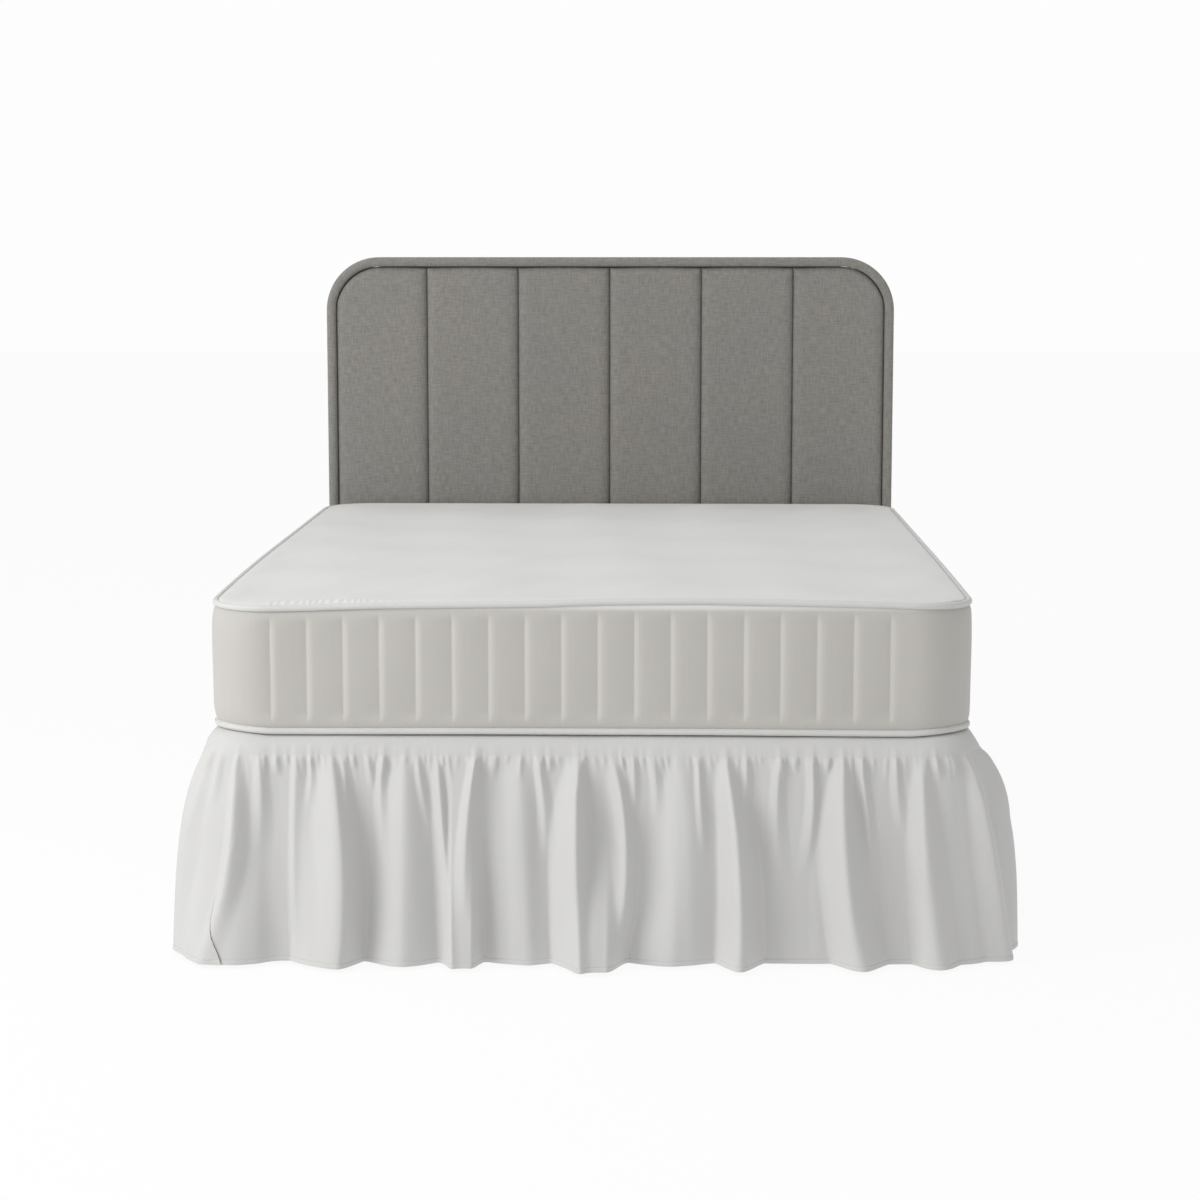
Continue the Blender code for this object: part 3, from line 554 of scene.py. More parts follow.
def side_folds(side):
    """The folds of one side drop, in mm from the middle of the foot; side is -1 or 1."""
    folds = list(LEFT_CORNER_FOLDS if side < 0 else RIGHT_CORNER_FOLDS)
    crest = SIDE_START if side > 0 else SIDE_START + SIDE_OFFSET
    turn = 0
    while crest < SIDE_LENGTH * 1000 - LAST_FOLD:
        row = SIDE_RUN[turn % len(SIDE_RUN)]
        if turn:
            crest += row.step
        flanks = (row.left, row.right) if side > 0 else (row.right, row.left)
        places = [side * (crest + row.lean * share) for share in (0, 0.4, 1)]
        folds.append(Fold(*places, row.reach, *flanks, row.depth))
        turn += 1
    return folds


on_left, on_right = len(side_folds(-1)), len(side_folds(1))
print(f"{len(FOOT_FOLDS)} folds across the foot, {on_left} on the left, {on_right} on the right")

# %% How far one fold pushes the cloth out
PLEAT = 9                # half the width of a long fold where it leaves the band, in mm
# A long fold opens and grows over these shares of the drop, from a small start.
OPENS_OVER, OPEN_START = 0.20, 0.03
GROWS_OVER, GROWN_START = 0.22, 0.04
# A short fold opens and grows sooner, and then dies out.
SHORT_OPEN_START, SHORT_GROWS_OVER, SHORT_START = 0.35, 0.020, 0.004


def ridge(away, roundness, pinch):
    """1 on a crest and 0 where its flank ends. A flank steepens towards its rounded crest."""
    gone = np.hypot(np.clip(away, 0, 1), roundness) - roundness
    gone = gone / (math.hypot(1, roundness) - roundness)
    return np.maximum(1 - gone, 0) ** pinch


def crest_place(fold, down):
    """Where the crest runs at each share of the drop, in mm: a curve through three places."""
    t = np.minimum(1.0, down / fold.reach)
    top, bend, end = (1 - t) * (1 - 2 * t), 4 * t * (1 - t), t * (2 * t - 1)
    return top * fold.top + bend * fold.bend + end * fold.end


def fold_height(fold, s, down):
    """How far a fold stands out at places s, in metres."""
    t = np.clip(down / fold.reach, 0, 1)
    away = s * 1000 - crest_place(fold, down)
    flank = np.where(away < 0, fold.left, fold.right)
    if fold.reach == 1:
        width = PLEAT + (flank - PLEAT) * (1 - np.exp(-(t + OPEN_START) / OPENS_OVER))
        grown = GROWN_START + (1 - GROWN_START) * (1 - np.exp(-down / GROWS_OVER))
        shape = ridge(np.abs(away) / width, 0.28 + 0.30 * down, 2.0 - 0.7 * down * down)
    else:
        opened = np.minimum(1.0, SHORT_OPEN_START + t)
        width = np.minimum(PLEAT, flank) + np.maximum(flank - PLEAT, 0) * opened
        grown = (1 - np.exp(-(down + SHORT_START) / SHORT_GROWS_OVER)) * (1 - t * t)
        shape = ridge(np.abs(away) / width, 0.22, 1.3)
    return fold.depth / 1000 * grown * shape * (down <= fold.reach)


# %% All folds together
# Heights join as the root of a sum of powers: the higher the power, the less two add up.
JOIN_POWER, FILL_POWER = 2.5, 3
FOLD_ROLL = 0.12         # how far a fold with one steep flank rolls over it, per height


def pushed_out(folds, s, down):
    """Long folds join where they meet and short ones ride on top. Also the lean sideways."""
    long_ones, short_ones, lean = 0.0, 0.0, 0.0
    for fold in folds:
        height = fold_height(fold, s, down)
        if fold.reach == 1:
            uneven = (fold.left - fold.right) / (fold.left + fold.right)
            long_ones = long_ones + height ** JOIN_POWER
            lean = lean + height * FOLD_ROLL * uneven
        else:
            short_ones = short_ones + height ** JOIN_POWER
    joined = long_ones ** (1 / JOIN_POWER)
    for row in FILLED:
        broad = smooth_step((row.half - np.abs(s * 1000 - row.place)) / row.flank)
        height = row.height / 1000 * smooth_step((down - row.start) / (1 - row.start)) * broad
        joined = (joined ** FILL_POWER + height ** FILL_POWER) ** (1 / FILL_POWER)
    return joined + short_ones ** (1 / JOIN_POWER), lean


deepest = pushed_out(FOOT_FOLDS, np.linspace(-0.7, 0.7, 900), 1.0)[0].max()
print(f"the deepest fold stands {deepest * 1000:.0f} mm out at the hem")

# %% [markdown]
# ## The gathers
#
# Between the long folds the seam is drawn up in small puckers about a finger wide.
# They are narrow and pointed at the seam and die out within a few fingers. No two
# are alike, so each gets its own place, height and reach, from a random generator
# with a fixed seed, which gives the same skirt each time.

# %% Puckers under the band
Pucker = namedtuple("Pucker", "place half tall reach lean")
GATHER_DEPTH, GATHER_SWELL = 0.0050, 0.016
FOOT_GATHER, SIDE_GATHER = 0.0185, 0.022      # mean pitch of the puckers
FOOT_FROM, FOOT_TO = -0.66, 0.80              # where the closer gathers of the foot end


def pucker_row(low, high, pitch, seed):
    rng = np.random.default_rng(seed)
    made, place = [], low + pitch / 2
    while place < high - pitch / 3:
        made.append(Pucker(
            place + rng.uniform(-0.18, 0.18) * pitch, pitch * rng.uniform(0.40, 0.56),
            rng.uniform(0.35, 1.0), rng.uniform(0.05, 0.16), rng.uniform(-0.06, 0.06),
        ))
        place += pitch * rng.uniform(0.72, 1.28)
    return made


puckers = pucker_row(-SIDE_LENGTH, FOOT_FROM, SIDE_GATHER, seed=23)
puckers += pucker_row(FOOT_FROM, FOOT_TO, FOOT_GATHER, seed=11)
puckers += pucker_row(FOOT_TO, SIDE_LENGTH, SIDE_GATHER, seed=29)


def puckered(seam, down):
    """How far the puckers push the cloth out, by its place on the seam."""
    total = 0.0
    swell = 1 - np.exp(-(down + 0.003) / GATHER_SWELL)
    for row in puckers:
        near = np.abs(seam - row.place - row.lean * down) / (row.half * (0.70 + 1.6 * down))
        fade = 1 - smooth_step(down / row.reach)
        total = np.maximum(total, row.tall * fade * ridge(near, 0.25, 1.2))
    return GATHER_DEPTH * swell * total


print(f"{len(puckers)} puckers")

# %% [markdown]
# ## Hanging the cloth
#
# All three drops are pieces of one gathered surface, so one function says how far out
# it hangs at any place. Its threads run down and drift with the long folds, and the
# columns of each mesh follow them. The columns stand closer where the cloth runs
# steeply in and out, which keeps the faces even.

# %% The surface that the drops share
BAND_BOTTOM, HEM_Z = 0.414, 0.008
DROP_TOP = BAND_BOTTOM - 0.0003
DROP_HEIGHT = DROP_TOP - HEM_Z
SEAM_OUTSET, PLAIN_FLARE, SWELL_OVER = 0.0028, 0.018, 0.2
# The flare at a corner fades towards the foot's middle, left and right, and up the side.
CORNER_FLARE, CORNER_MIDDLE = 0.034, 0.755
CORNER_REACH, SIDE_REACH = (0.165, 0.125), 0.125
# How much further the right-hand drop stands out at its hem, and where that begins.
RIGHT_FLARE, RIGHT_FROM = 0.011, 0.72
DRIFTING = 15                       # the threads follow long folds deeper than this, in mm
RIPPLE_HEIGHT, RIPPLES = 0.0075, (0.031, 0.047, 0.068, 0.094, 0.151)
all_folds = sorted(FOOT_FOLDS + side_folds(-1) + side_folds(1), key=lambda row: row.top)


def threads(down):
    """Places on the seam and, for each, where its thread hangs at `down`."""
    rows = [(-SIDE_LENGTH, -SIDE_LENGTH)]
    for fold in all_folds:
        inside = abs(fold.top) / 1000 < SIDE_LENGTH - 0.03
        if fold.reach == 1 and fold.depth > DRIFTING and inside:
            rows.append((fold.top / 1000, float(crest_place(fold, down)) / 1000))
    rows.append((SIDE_LENGTH, SIDE_LENGTH))
    return np.array(rows).T


def plain_outset(s, down):
    """The drop with no folds. It swells out under the gathers, most round the foot corners."""
    inwards = np.where(s < 0, CORNER_REACH[0], CORNER_REACH[1])
    away = CORNER_MIDDLE - np.abs(s)
    corner = np.maximum(0.0, 1 - np.where(away > 0, away / inwards, -away / SIDE_REACH))
    opened = 0.5 * (1 - np.exp(-down / SWELL_OVER)) + 0.5 * down
    right = RIGHT_FLARE * down ** 2 * smooth_step((s - RIGHT_FROM) / 0.1)
    return SEAM_OUTSET + (PLAIN_FLARE + CORNER_FLARE * smooth_step(corner)) * opened + right


def ripple(s, down):
    """A few long waves of a millimetre or two, stronger towards the hem."""
    rng = np.random.default_rng(3)
    total = 0.0
    for length in RIPPLES:
        phase, drift = rng.uniform(0, 2 * math.pi), rng.uniform(-2.4, 2.4)
        total = total + np.sin(2 * math.pi * s / length + phase + drift * down) * length
    return total * RIPPLE_HEIGHT * smooth_step(down / 0.25)


def hung(seam, s, down):
    """How far out the cloth hangs, and how far it leans sideways."""
    out, lean = pushed_out(all_folds, s, down)
    return plain_outset(s, down) + out + puckered(seam, down) + ripple(s, down), lean


# %% Rows of a drop
HEM_STITCH = 0.009       # height of the stitched line over the hem's edge
HEM_RELIEF, HEM_LINE = 0.0006, 0.0008        # how far the hem stands out, and its line's width
TUCK_HEIGHT, TUCK_DEPTH = 0.003, 0.0012      # how far the top edge goes up behind the band
NEAR_HEM = -10           # the row at which a drop's width is measured


def hem_relief(height):
    """The turned-up hem: doubled cloth, and a narrow line where the stitches draw it in."""
    above = height - HEM_STITCH
    doubled = 1 - smooth_step((above + HEM_LINE / 2) / HEM_LINE)
    return HEM_RELIEF * (doubled - np.exp(-(above / HEM_LINE) ** 2))


def drop_rows(count):
    """Shares of the drop: closer under the seam, for the puckers, and at the hem's stitches."""
    tuck = np.array([-TUCK_HEIGHT, -0.0016, -0.0006, 0.0004]) / DROP_HEIGHT
    first, last = 0.003, 1 - 0.012 / DROP_HEIGHT
    plain = first + np.linspace(0, 1, count) ** 1.5 * (last - first)
    above_hem = np.array([0.0104, 0.0096, 0.0090, 0.0084, 0.0076, 0.0045, 0.0012, 0.0])
    return np.concatenate([tuck, plain, 1 - above_hem / DROP_HEIGHT])


def added_up(steps):
    return np.concatenate([[0], np.cumsum(steps)])


def spread_columns(low, high, count, kept=()):
    """Places on the seam whose columns stand about evenly on the cloth that they follow."""
    samples, heed = 6000, 0.8        # heed: how much the folds count beside the plain distance
    fine = np.linspace(low, high, samples)
    pace = np.full(samples - 1, (high - low) / samples)
    for down in (0.04, 0.6):
        pace = pace + np.hypot(np.diff(fine), np.diff(hung(fine, fine, down)[0])) * heed
    travelled = added_up(pace)
    even = np.interp(np.linspace(0, travelled[-1], count), travelled, fine)
    return np.unique(np.concatenate([even, kept]))


def drop_points(s, down, outset, lean):
    """One row of the drop. Its top is flush with the band's edge and goes behind it above."""
    x, y, out_x, out_y = edge_station(s)
    tucked = TUCK_DEPTH * smooth_step((-down * DROP_HEIGHT - 0.0004) / 0.0024)
    reach = outset + hem_relief(DROP_HEIGHT * (1 - down)) - tucked
    # the way along the edge is the way out turned by a quarter
    px = x + out_x * reach - out_y * lean
    py = y + out_y * reach + out_x * lean
    pz = DROP_TOP - down * DROP_HEIGHT + np.zeros_like(s)
    return np.stack([px, py, pz], axis=-1)


def fallen(points):
    """How much cloth each row has come down by, on average."""
    return added_up(np.linalg.norm(np.diff(points, axis=0), axis=-1).mean(axis=1))


def cloth_places(points):
    """UV in metres: across by the cloth's own width near the hem, down by its height."""
    across = added_up(np.linalg.norm(np.diff(points[NEAR_HEM], axis=0), axis=-1))
    down = fallen(points)
    place = np.stack(np.meshgrid(across, -down), axis=-1)
    return place, float(across[-1]), float(down[-1])


# %% [markdown]
# ## The split corners
#
# The skirt is open at the bed's two foot corners, so that it can pass a leg or a
# rail. Each side drop's free front edge laps over the end of the foot drop. The two
# lie flush, so the lap hardly shows, except low on the left, where the edge stands
# off and its corner turns towards the light.

# %% Where the free edges hang
LEFT_SPLIT = (
    (0.0, -0.668), (0.30, -0.668), (0.42, -0.674), (0.52, -0.686), (0.62, -0.699),
    (0.70, -0.706), (0.78, -0.7065), (0.88, -0.699), (1.0, -0.688),
)
RIGHT_SPLIT = ((0.0, 0.735), (1.0, 0.775))
FOOT_DROP_ENDS = (-0.735, 0.800)
LAP_ROOM = 0.0018        # how far the covered end of the foot drop stays behind
OPENING = ((0.0, 0.0), (0.66, 0.0), (0.82, 0.0018), (1.0, 0.0048))
OPENING_WIDTH, FOLLOW_WIDTH = 0.05, 0.11     # how far from the edge the cloth is changed
LAP_COLUMNS = np.array([-0.004, -0.002, -0.0011, -0.0001, 0.0010, 0.0025, 0.005])


def read_table(table, at):
    return float(np.interp(at, [row[0] for row in table], [row[1] for row in table]))


def follow_edge(seam, down, split):
    """Shifts the columns near a free edge so that one of them is the edge."""
    places, hanging = threads(down)
    start = split[0][1]
    shift = np.interp(read_table(split, down), hanging, places) - start
    return seam + shift * (1 - smooth_step((np.abs(seam - start) - 0.006) / FOLLOW_WIDTH))


# %% A drop from its columns
def drop_of_cloth(name, seam, rows, splits, change):
    """A gathered strip: the piece, its points and its cut size.

    `change` alters the outset, given the places, the share of the drop and the outset.
    """
    grid = []
    for down in drop_rows(rows):
        level = max(down, 0.0)
        at = seam
        for split in splits:
            at = follow_edge(at, level, split)
        s = np.interp(at, *threads(level))
        outset, lean = hung(at, s, level)
        grid.append(drop_points(s, down, change(s, level, outset), lean))
    points = np.array(grid)
    place, width, height = cloth_places(points)
    piece = thicken(grid_object(name, points, place, cotton))
    cut = (width, height + HEM_STITCH)
    print(f"{name}: cut {cut[0]:.2f} x {cut[1]:.2f} m, {triangles_of(piece)} triangles")
    return piece, points, cut


# %% How the drops meet at the corners
def under_the_laps(s, down, outset):
    """The foot drop goes back just past each side drop's edge, which so lies flush with it."""
    past = np.maximum(read_table(LEFT_SPLIT, down) - s, s - read_table(RIGHT_SPLIT, down))
    return outset - LAP_ROOM * smooth_step((past - 0.0002) / 0.0010)


def left_opening(s, down, outset):
    """The left drop's edge stands off towards the hem."""
    from_edge = np.abs(s - read_table(LEFT_SPLIT, down))
    return outset + read_table(OPENING, down) * (1 - smooth_step(from_edge / OPENING_WIDTH))


def no_change(s, down, outset):
    return outset


# %% The three drops
HEAD_ROOM = 0.003        # between the end of a side drop and the headboard
LEFT_EDGE, RIGHT_EDGE = LEFT_SPLIT[0][1], RIGHT_SPLIT[0][1]

laps = np.concatenate([LEFT_EDGE + LAP_COLUMNS, RIGHT_EDGE - LAP_COLUMNS])
foot, foot_points, foot_cut = drop_of_cloth(
    "skirt_foot_drop", spread_columns(*FOOT_DROP_ENDS, count=720, kept=laps), 52,
    (LEFT_SPLIT, RIGHT_SPLIT), under_the_laps,
)
left, left_points, left_cut = drop_of_cloth(
    "skirt_left_drop", spread_columns(-SIDE_LENGTH + HEAD_ROOM, LEFT_EDGE, count=570), 44,
    (LEFT_SPLIT,), left_opening,
)
right, right_points, right_cut = drop_of_cloth(
    "skirt_right_drop", spread_columns(RIGHT_EDGE, SIDE_LENGTH - HEAD_ROOM, count=570), 44,
    (RIGHT_SPLIT,), no_change,
)

# %% [markdown]
# ## The band
#
# The band is a plain strip. It is sewn to the deck, turns over the rounded edge of
# the base and ends in the seam that holds the gathers. The gathers push at it, so its
# lower edge follows their first ridges.

# %% The band over the base's edge
DECK_THICK, DECK_EDGE, EDGE_CLEARANCE, GAP = 0.0015, 0.058, 0.002, 0.0003
BAND_SAG, SAG_WAVES = 0.0004, (0.19, 0.31)
BAND_CLOSER = 0.198      # how far past the foot's straight its closer columns go


def band_profile(steps):
    """(outset from the base's edge, height) of the band's outer face, from its inner edge down."""
    reach = BASE_EDGE_RADIUS + EDGE_CLEARANCE + DECK_THICK
    centre_z = BASE_TOP - BASE_EDGE_RADIUS
    flat_z = BASE_TOP + GAP + DECK_THICK
    ends = [math.asin((z - centre_z) / reach) for z in (flat_z, BAND_BOTTOM)]
    turns = np.linspace(*ends, steps)
    outset = np.concatenate([[-DECK_EDGE + GAP], -BASE_EDGE_RADIUS + reach * np.cos(turns)])
    return outset, np.concatenate([[flat_z], centre_z + reach * np.sin(turns)])


def band_of_cloth(columns, steps):
    """The band and its cut size. Half of its columns go to the foot and the corners."""
    closer = FLAT_FOOT + BAND_CLOSER
    beyond = np.linspace(closer + 0.002, SIDE_LENGTH - 0.002, columns // 4)
    s = np.concatenate([-beyond[::-1], np.linspace(-closer, closer, columns // 2), beyond])
    x, y, out_x, out_y = edge_station(s)
    gathered = hung(s, s, 0.0)[0] - SEAM_OUTSET
    outset, height = band_profile(steps)
    share = np.linspace(0, 1, steps + 1)
    rng = np.random.default_rng(5)
    sag = sum(np.sin(2 * math.pi * s / length + rng.uniform(0, 6.28)) for length in SAG_WAVES)
    grid = []
    for out, z, down in zip(outset, height, share):
        edge = smooth_step((down - 0.40) / 0.60)
        reach = out + gathered * edge ** 1.5
        reach = reach + BAND_SAG * sag * smooth_step(down * 3) * (1 - edge)
        grid.append(np.stack([x + out_x * reach, y + out_y * reach, z + 0 * s], axis=-1))
    points = np.array(grid)
    down = fallen(points)
    place = np.stack(np.meshgrid(s, -down), axis=-1)
    piece = thicken(grid_object("skirt_band", points, place, cotton))
    return piece, (float(s[-1] - s[0]), float(down[-1]))


band, band_cut = band_of_cloth(columns=1340, steps=14)
print(f"band: cut {band_cut[0]:.2f} x {band_cut[1]:.3f} m, {triangles_of(band)} triangles")

# %% [markdown]
# ## The mattress
#
# The mattress is a filled body: a border of stretchy knit, sewn through to the
# filling in upright lines, and a soft top. Each stretch of border between two lines
# is a puff that is fuller on one side. It could be inflated by a simulation, but
# the puffs are so regular that a rule gives them sooner and more evenly: the body
# is a stack of rings round the mattress, and every ring reads the same few functions.

# %% The way round the mattress
MATTRESS_HALF, MATTRESS_CORNER = 0.742, 0.120
MATTRESS_FOOT, MATTRESS_HEAD = -0.978, 1.004
MATTRESS_MIDDLE = (MATTRESS_FOOT + MATTRESS_HEAD) / 2
MATTRESS_BOTTOM, MATTRESS_TOP = 0.4521, 0.7140
HALF_LENGTH = MATTRESS_HEAD - MATTRESS_MIDDLE
TAPE_RADIUS = 0.0065
TAPE_TOP_Z, TAPE_BOTTOM_Z = 0.7065, 0.4572
BOTTOM_DROOP, CORNER_LIFT, HEAD_LIFT = 0.0014, 0.0030, 0.0022
ACROSS, ALONG = MATTRESS_HALF - MATTRESS_CORNER, HALF_LENGTH - MATTRESS_CORNER
ARC = MATTRESS_CORNER * math.pi / 2
MATTRESS_ROUND = 4 * (ACROSS + ALONG + ARC)


def round_mattress(gone):
    """x, y, out_x, out_y at distances anticlockwise from the left end of the foot's straight."""
    x, y, out_x, out_y = (np.zeros_like(gone) for _ in range(4))
    done = 0.0
    sides = ((-90, ALONG, ACROSS), (0, ACROSS, ALONG), (90, ALONG, ACROSS), (180, ACROSS, ALONG))
    for facing, reach, width in sides:
        here = (gone >= done) & (gone <= done + 2 * width + ARC + 1e-9)
        along = gone[here] - done
        turn = math.radians(facing) + np.maximum(along - 2 * width, 0) / MATTRESS_CORNER
        level = -width + np.minimum(along, 2 * width)
        face = (math.cos(math.radians(facing)), math.sin(math.radians(facing)))
        x[here] = face[0] * reach - face[1] * level + MATTRESS_CORNER * np.cos(turn)
        y[here] = MATTRESS_MIDDLE + face[1] * reach + face[0] * level
        y[here] += MATTRESS_CORNER * np.sin(turn)
        out_x[here], out_y[here] = np.cos(turn), np.sin(turn)
        done += 2 * width + ARC
    return x, y, out_x, out_y


# The foot end has settled unevenly: how much higher or lower its top edge lies, in mm.
Settled = namedtuple("Settled", "x rise")
SETTLED = [
    Settled(-0.742, -13), Settled(-0.64, -11), Settled(-0.55, -9), Settled(-0.43, -4.5),
    Settled(-0.25, -2), Settled(-0.10, 0), Settled(0.02, 4.5), Settled(0.20, 7),
    Settled(0.40, 3.5), Settled(0.53, 1), Settled(0.635, -2), Settled(0.742, -7),
]


def towards_foot(y):
    return np.clip((MATTRESS_MIDDLE - y) / (MATTRESS_MIDDLE - MATTRESS_FOOT), 0, 1) ** 2.5


def settled(x, y):
    """The table as a smooth curve, which dies out towards the middle of the mattress."""
    spread = np.linspace(-0.03, 0.03, 7)
    places, rises = zip(*SETTLED)
    total = sum(np.interp(x + step, places, rises) for step in spread)
    return total / len(spread) / 1000 * towards_foot(y)


def tape_height(x, y, upper):
    """Centre of a tape.

    The lower one lies on the base's rounded shoulder: higher at a corner, and on the flat
    at the head.
    """
    if upper:
        return TAPE_TOP_Z + settled(x, y)
    sag = BOTTOM_DROOP * smooth_step((np.abs(x) - 0.20) / 0.37) * towards_foot(y)
    past_x = np.clip((np.abs(x) - ACROSS) / MATTRESS_CORNER, 0, 1)
    past_y = np.clip((np.abs(y - MATTRESS_MIDDLE) - ALONG) / MATTRESS_CORNER, 0, 1)
    head = HEAD_LIFT * np.clip((y - MATTRESS_MIDDLE) / HALF_LENGTH, 0, 1) ** 8
    return TAPE_BOTTOM_Z - sag + head + CORNER_LIFT * 2 * past_x * past_y


# %% The puffs of the border
FOOT_SEAMS, FIRST_SEAM, SEAM_STEP = 18, -0.620, 0.0706      # x of the foot's first sewn line
SIDE_SEAMS, SIDE_MARGIN = 25, 0.02
SWELL, TUCKED, CROWN, LUMPS = 0.0080, -0.0055, 0.001, 0.0007
PUFF, SEAM_RISE = 0.0068, 0.0052


def sewn_lines():
    """Distances round the mattress at which the border is sewn through, in order."""
    foot = FIRST_SEAM + SEAM_STEP * np.arange(FOOT_SEAMS) + ACROSS
    side = np.linspace(SIDE_MARGIN, 2 * ALONG - SIDE_MARGIN, SIDE_SEAMS) + 2 * ACROSS + ARC
    half_way = MATTRESS_ROUND / 2
    return np.concatenate([foot, side, foot + half_way, side + half_way])


PUCKERED = 0.34          # the foot's left, where columns stand closer for the puckers
BEHIND_LINE, BEFORE_LINE = 0.0115, 0.0065    # kept free of plain columns round a sewn line


def seam_columns():
    """Columns round the mattress: close past each sewn line, wider over the puffs."""
    close = np.array([-0.004, -0.0015, 0, 0.0008, 0.0018, 0.0030, 0.0045, 0.0065, 0.0090])
    lines = sewn_lines()
    near = (lines[:, None] + close).ravel()
    fine, wide = np.arange(0, PUCKERED, 0.0026), np.arange(PUCKERED, MATTRESS_ROUND, 0.0063)
    plain = np.concatenate([fine, wide])
    past = plain[:, None] - lines
    clear = (past > BEHIND_LINE).any(axis=1) & (np.abs(past) > BEFORE_LINE).all(axis=1)
    clear &= ~((past > 0) & (past < BEHIND_LINE)).any(axis=1)
    return np.unique(np.mod(np.concatenate([near, plain[clear]]), MATTRESS_ROUND).round(6))


gone_round = seam_columns()
loop = (*round_mattress(gone_round), gone_round)
print(f"{len(gone_round)} columns round the mattress")


# %% How the border swells
def border_swell(share):
    """Distance of the plain border from the tapes' line, at each share of its height."""
    edge = np.minimum(share, 1 - share) / 0.18
    rise = np.sqrt(1 - (1 - np.clip(edge, 0, 1)) ** 2)
    return TUCKED + (SWELL - TUCKED - CROWN) * rise + CROWN * (1 - (2 * share - 1) ** 2)


def puff(gone, share):
    """How far a sewn line draws the border in.

    A puff rises steeply past its line and then sinks slowly to the next.
    """
    lines = sewn_lines()
    behind = np.mod(gone[:, None] - lines, MATTRESS_ROUND).min(axis=1)
    ahead = np.mod(lines - gone[:, None], MATTRESS_ROUND).min(axis=1)
    sinking = np.clip(1 - ahead / SEAM_STEP, 0, 1) ** 1.9
    rising = np.exp(-(behind / SEAM_RISE) ** 1.3)
    sunk = np.where(ahead < 1e-6, 1.0, np.maximum(sinking, rising))
    ends = smooth_step((np.minimum(share, 1 - share) - 0.080) / 0.06)
    return -PUFF * sunk * ends


def uneven_filling(x, y, z):
    """The soft lumps of a filled border, a millimetre or so."""
    waves = np.sin(9.1 * x + 3 * z + 0.7) * np.cos(7.3 * y + 1.1)
    return LUMPS * (waves + np.sin(17 * x - 21 * z + 11 * y))


# %% The mattress's top
TOP_RISE, TOP_WAVES, TOP_FADE = 0.0006, 0.0036, 0.12
OVERLOCK, OVERLOCK_PITCH = 0.0009, 0.0145


def top_height(x, y):
    """The top, softly uneven where the filling has settled."""
    edge = np.maximum(np.abs(x) / MATTRESS_HALF, np.abs(y - MATTRESS_MIDDLE) / HALF_LENGTH)
    waves = (
        np.sin(2 * math.pi * x / 0.31 + 1.2 + 1.5 * np.sin(2.2 * y))
        + 0.8 * np.sin(2 * math.pi * (x * 0.35 + y) / 0.42 + 0.4)
        + 0.6 * np.sin(2 * math.pi * (x - 0.5 * y) / 0.17 + 2.0)
    )
    inside = smooth_step((1 - edge) / TOP_FADE)
    return MATTRESS_TOP + settled(x, y) + TOP_RISE + TOP_WAVES * waves * inside


def edge_puckers(x, y, inset):
    """The overlocked edge gathers the top just behind the tape, at the left of the foot."""
    place = np.exp(-((inset - 0.026) / 0.034) ** 2)
    place = place * smooth_step((-0.28 - x) / 0.20) * smooth_step((x + 0.70) / 0.06)
    place = place * smooth_step((towards_foot(y) - 0.7) / 0.2)
    uneven = 1.6 * np.sin(2 * math.pi * x / 0.09)
    return OVERLOCK * place * np.sin(2 * math.pi * x / OVERLOCK_PITCH + uneven)


# %% The mattress as a stack of rings
TOP_SCALES = (0.04, 0.12, 0.2, 0.28, 0.36, 0.44, 0.52, 0.6, 0.68, 0.76, 0.82, 0.87, 0.91, 0.94)
# Rings towards the upper tape: how far in, and how far below the plain top.
EDGE_RINGS = (
    (0.040, 0.0), (0.031, 0.0002), (0.024, 0.0006), (0.018, 0.0011), (0.0135, 0.0017),
    (0.0095, 0.0024), (0.006, 0.0032),
)
# Rings under the lower tape: how far in, and at what share of the tape's height.
BOTTOM_RINGS = ((0.0095, 0.5195), (0.013, 0.1299), (0.018, 0.0))
BORDER_ROWS = np.concatenate([
    [0, 0.012, 0.028, 0.05], np.linspace(0.075, 0.925, 25), [0.95, 0.972, 0.988, 1],
])


def mattress_body():
    x, y, out_x, out_y, gone = loop
    low, high = tape_height(x, y, False), tape_height(x, y, True)
    grid, place = [], []

    def add_ring(outset, z, on_top=False):
        px, py = x + out_x * outset, y + out_y * outset
        grid.append(np.stack([px, py, z + 0 * x], axis=-1))
        place.append(np.stack([px, py] if on_top else [gone, z + 0 * x], axis=-1))

    # top first, so that the faces turn outwards as the rows go down
    for scale in TOP_SCALES:
        px, py = x * scale, MATTRESS_MIDDLE + (y - MATTRESS_MIDDLE) * scale
        gathered = edge_puckers(px, py, (1 - scale) * HALF_LENGTH)
        grid.append(np.stack([px, py, top_height(px, py) + gathered], axis=-1))
        place.append(np.stack([px, py], axis=-1))
    for inset, below in EDGE_RINGS:
        px, py = x - out_x * inset, y - out_y * inset
        add_ring(-inset, top_height(px, py) - below + edge_puckers(x, y, inset), on_top=True)
    for share in BORDER_ROWS[::-1]:
        z = low + (high - low) * share
        lumps = uneven_filling(x, y, z) * math.sin(math.pi * share)
        add_ring(border_swell(share) + puff(gone, share) + lumps, z)
    for inset, share in BOTTOM_RINGS:
        add_ring(-inset, MATTRESS_BOTTOM + share * (low - MATTRESS_BOTTOM))
    grid, place = np.array(grid), np.array(place)
    return grid_object("mattress_body", grid, place, knit, around=True, caps=True)


# %% The knit, and the mattress
KNIT_TOP = 0.697         # the top panel starts just under the upper tape
knit = cloth(
    "mattress_knit", light=(0.528, 0.513, 0.487), dark=(0.480, 0.463, 0.433),
    threads=900, streak_width=0.004, patch=0.35, bump_mm=0.10,
    panel=(KNIT_TOP, (0.710, 0.710, 0.700), (0.668, 0.665, 0.646)),
)
mattress = mattress_body()
print(f"mattress: {triangles_of(mattress)} triangles")

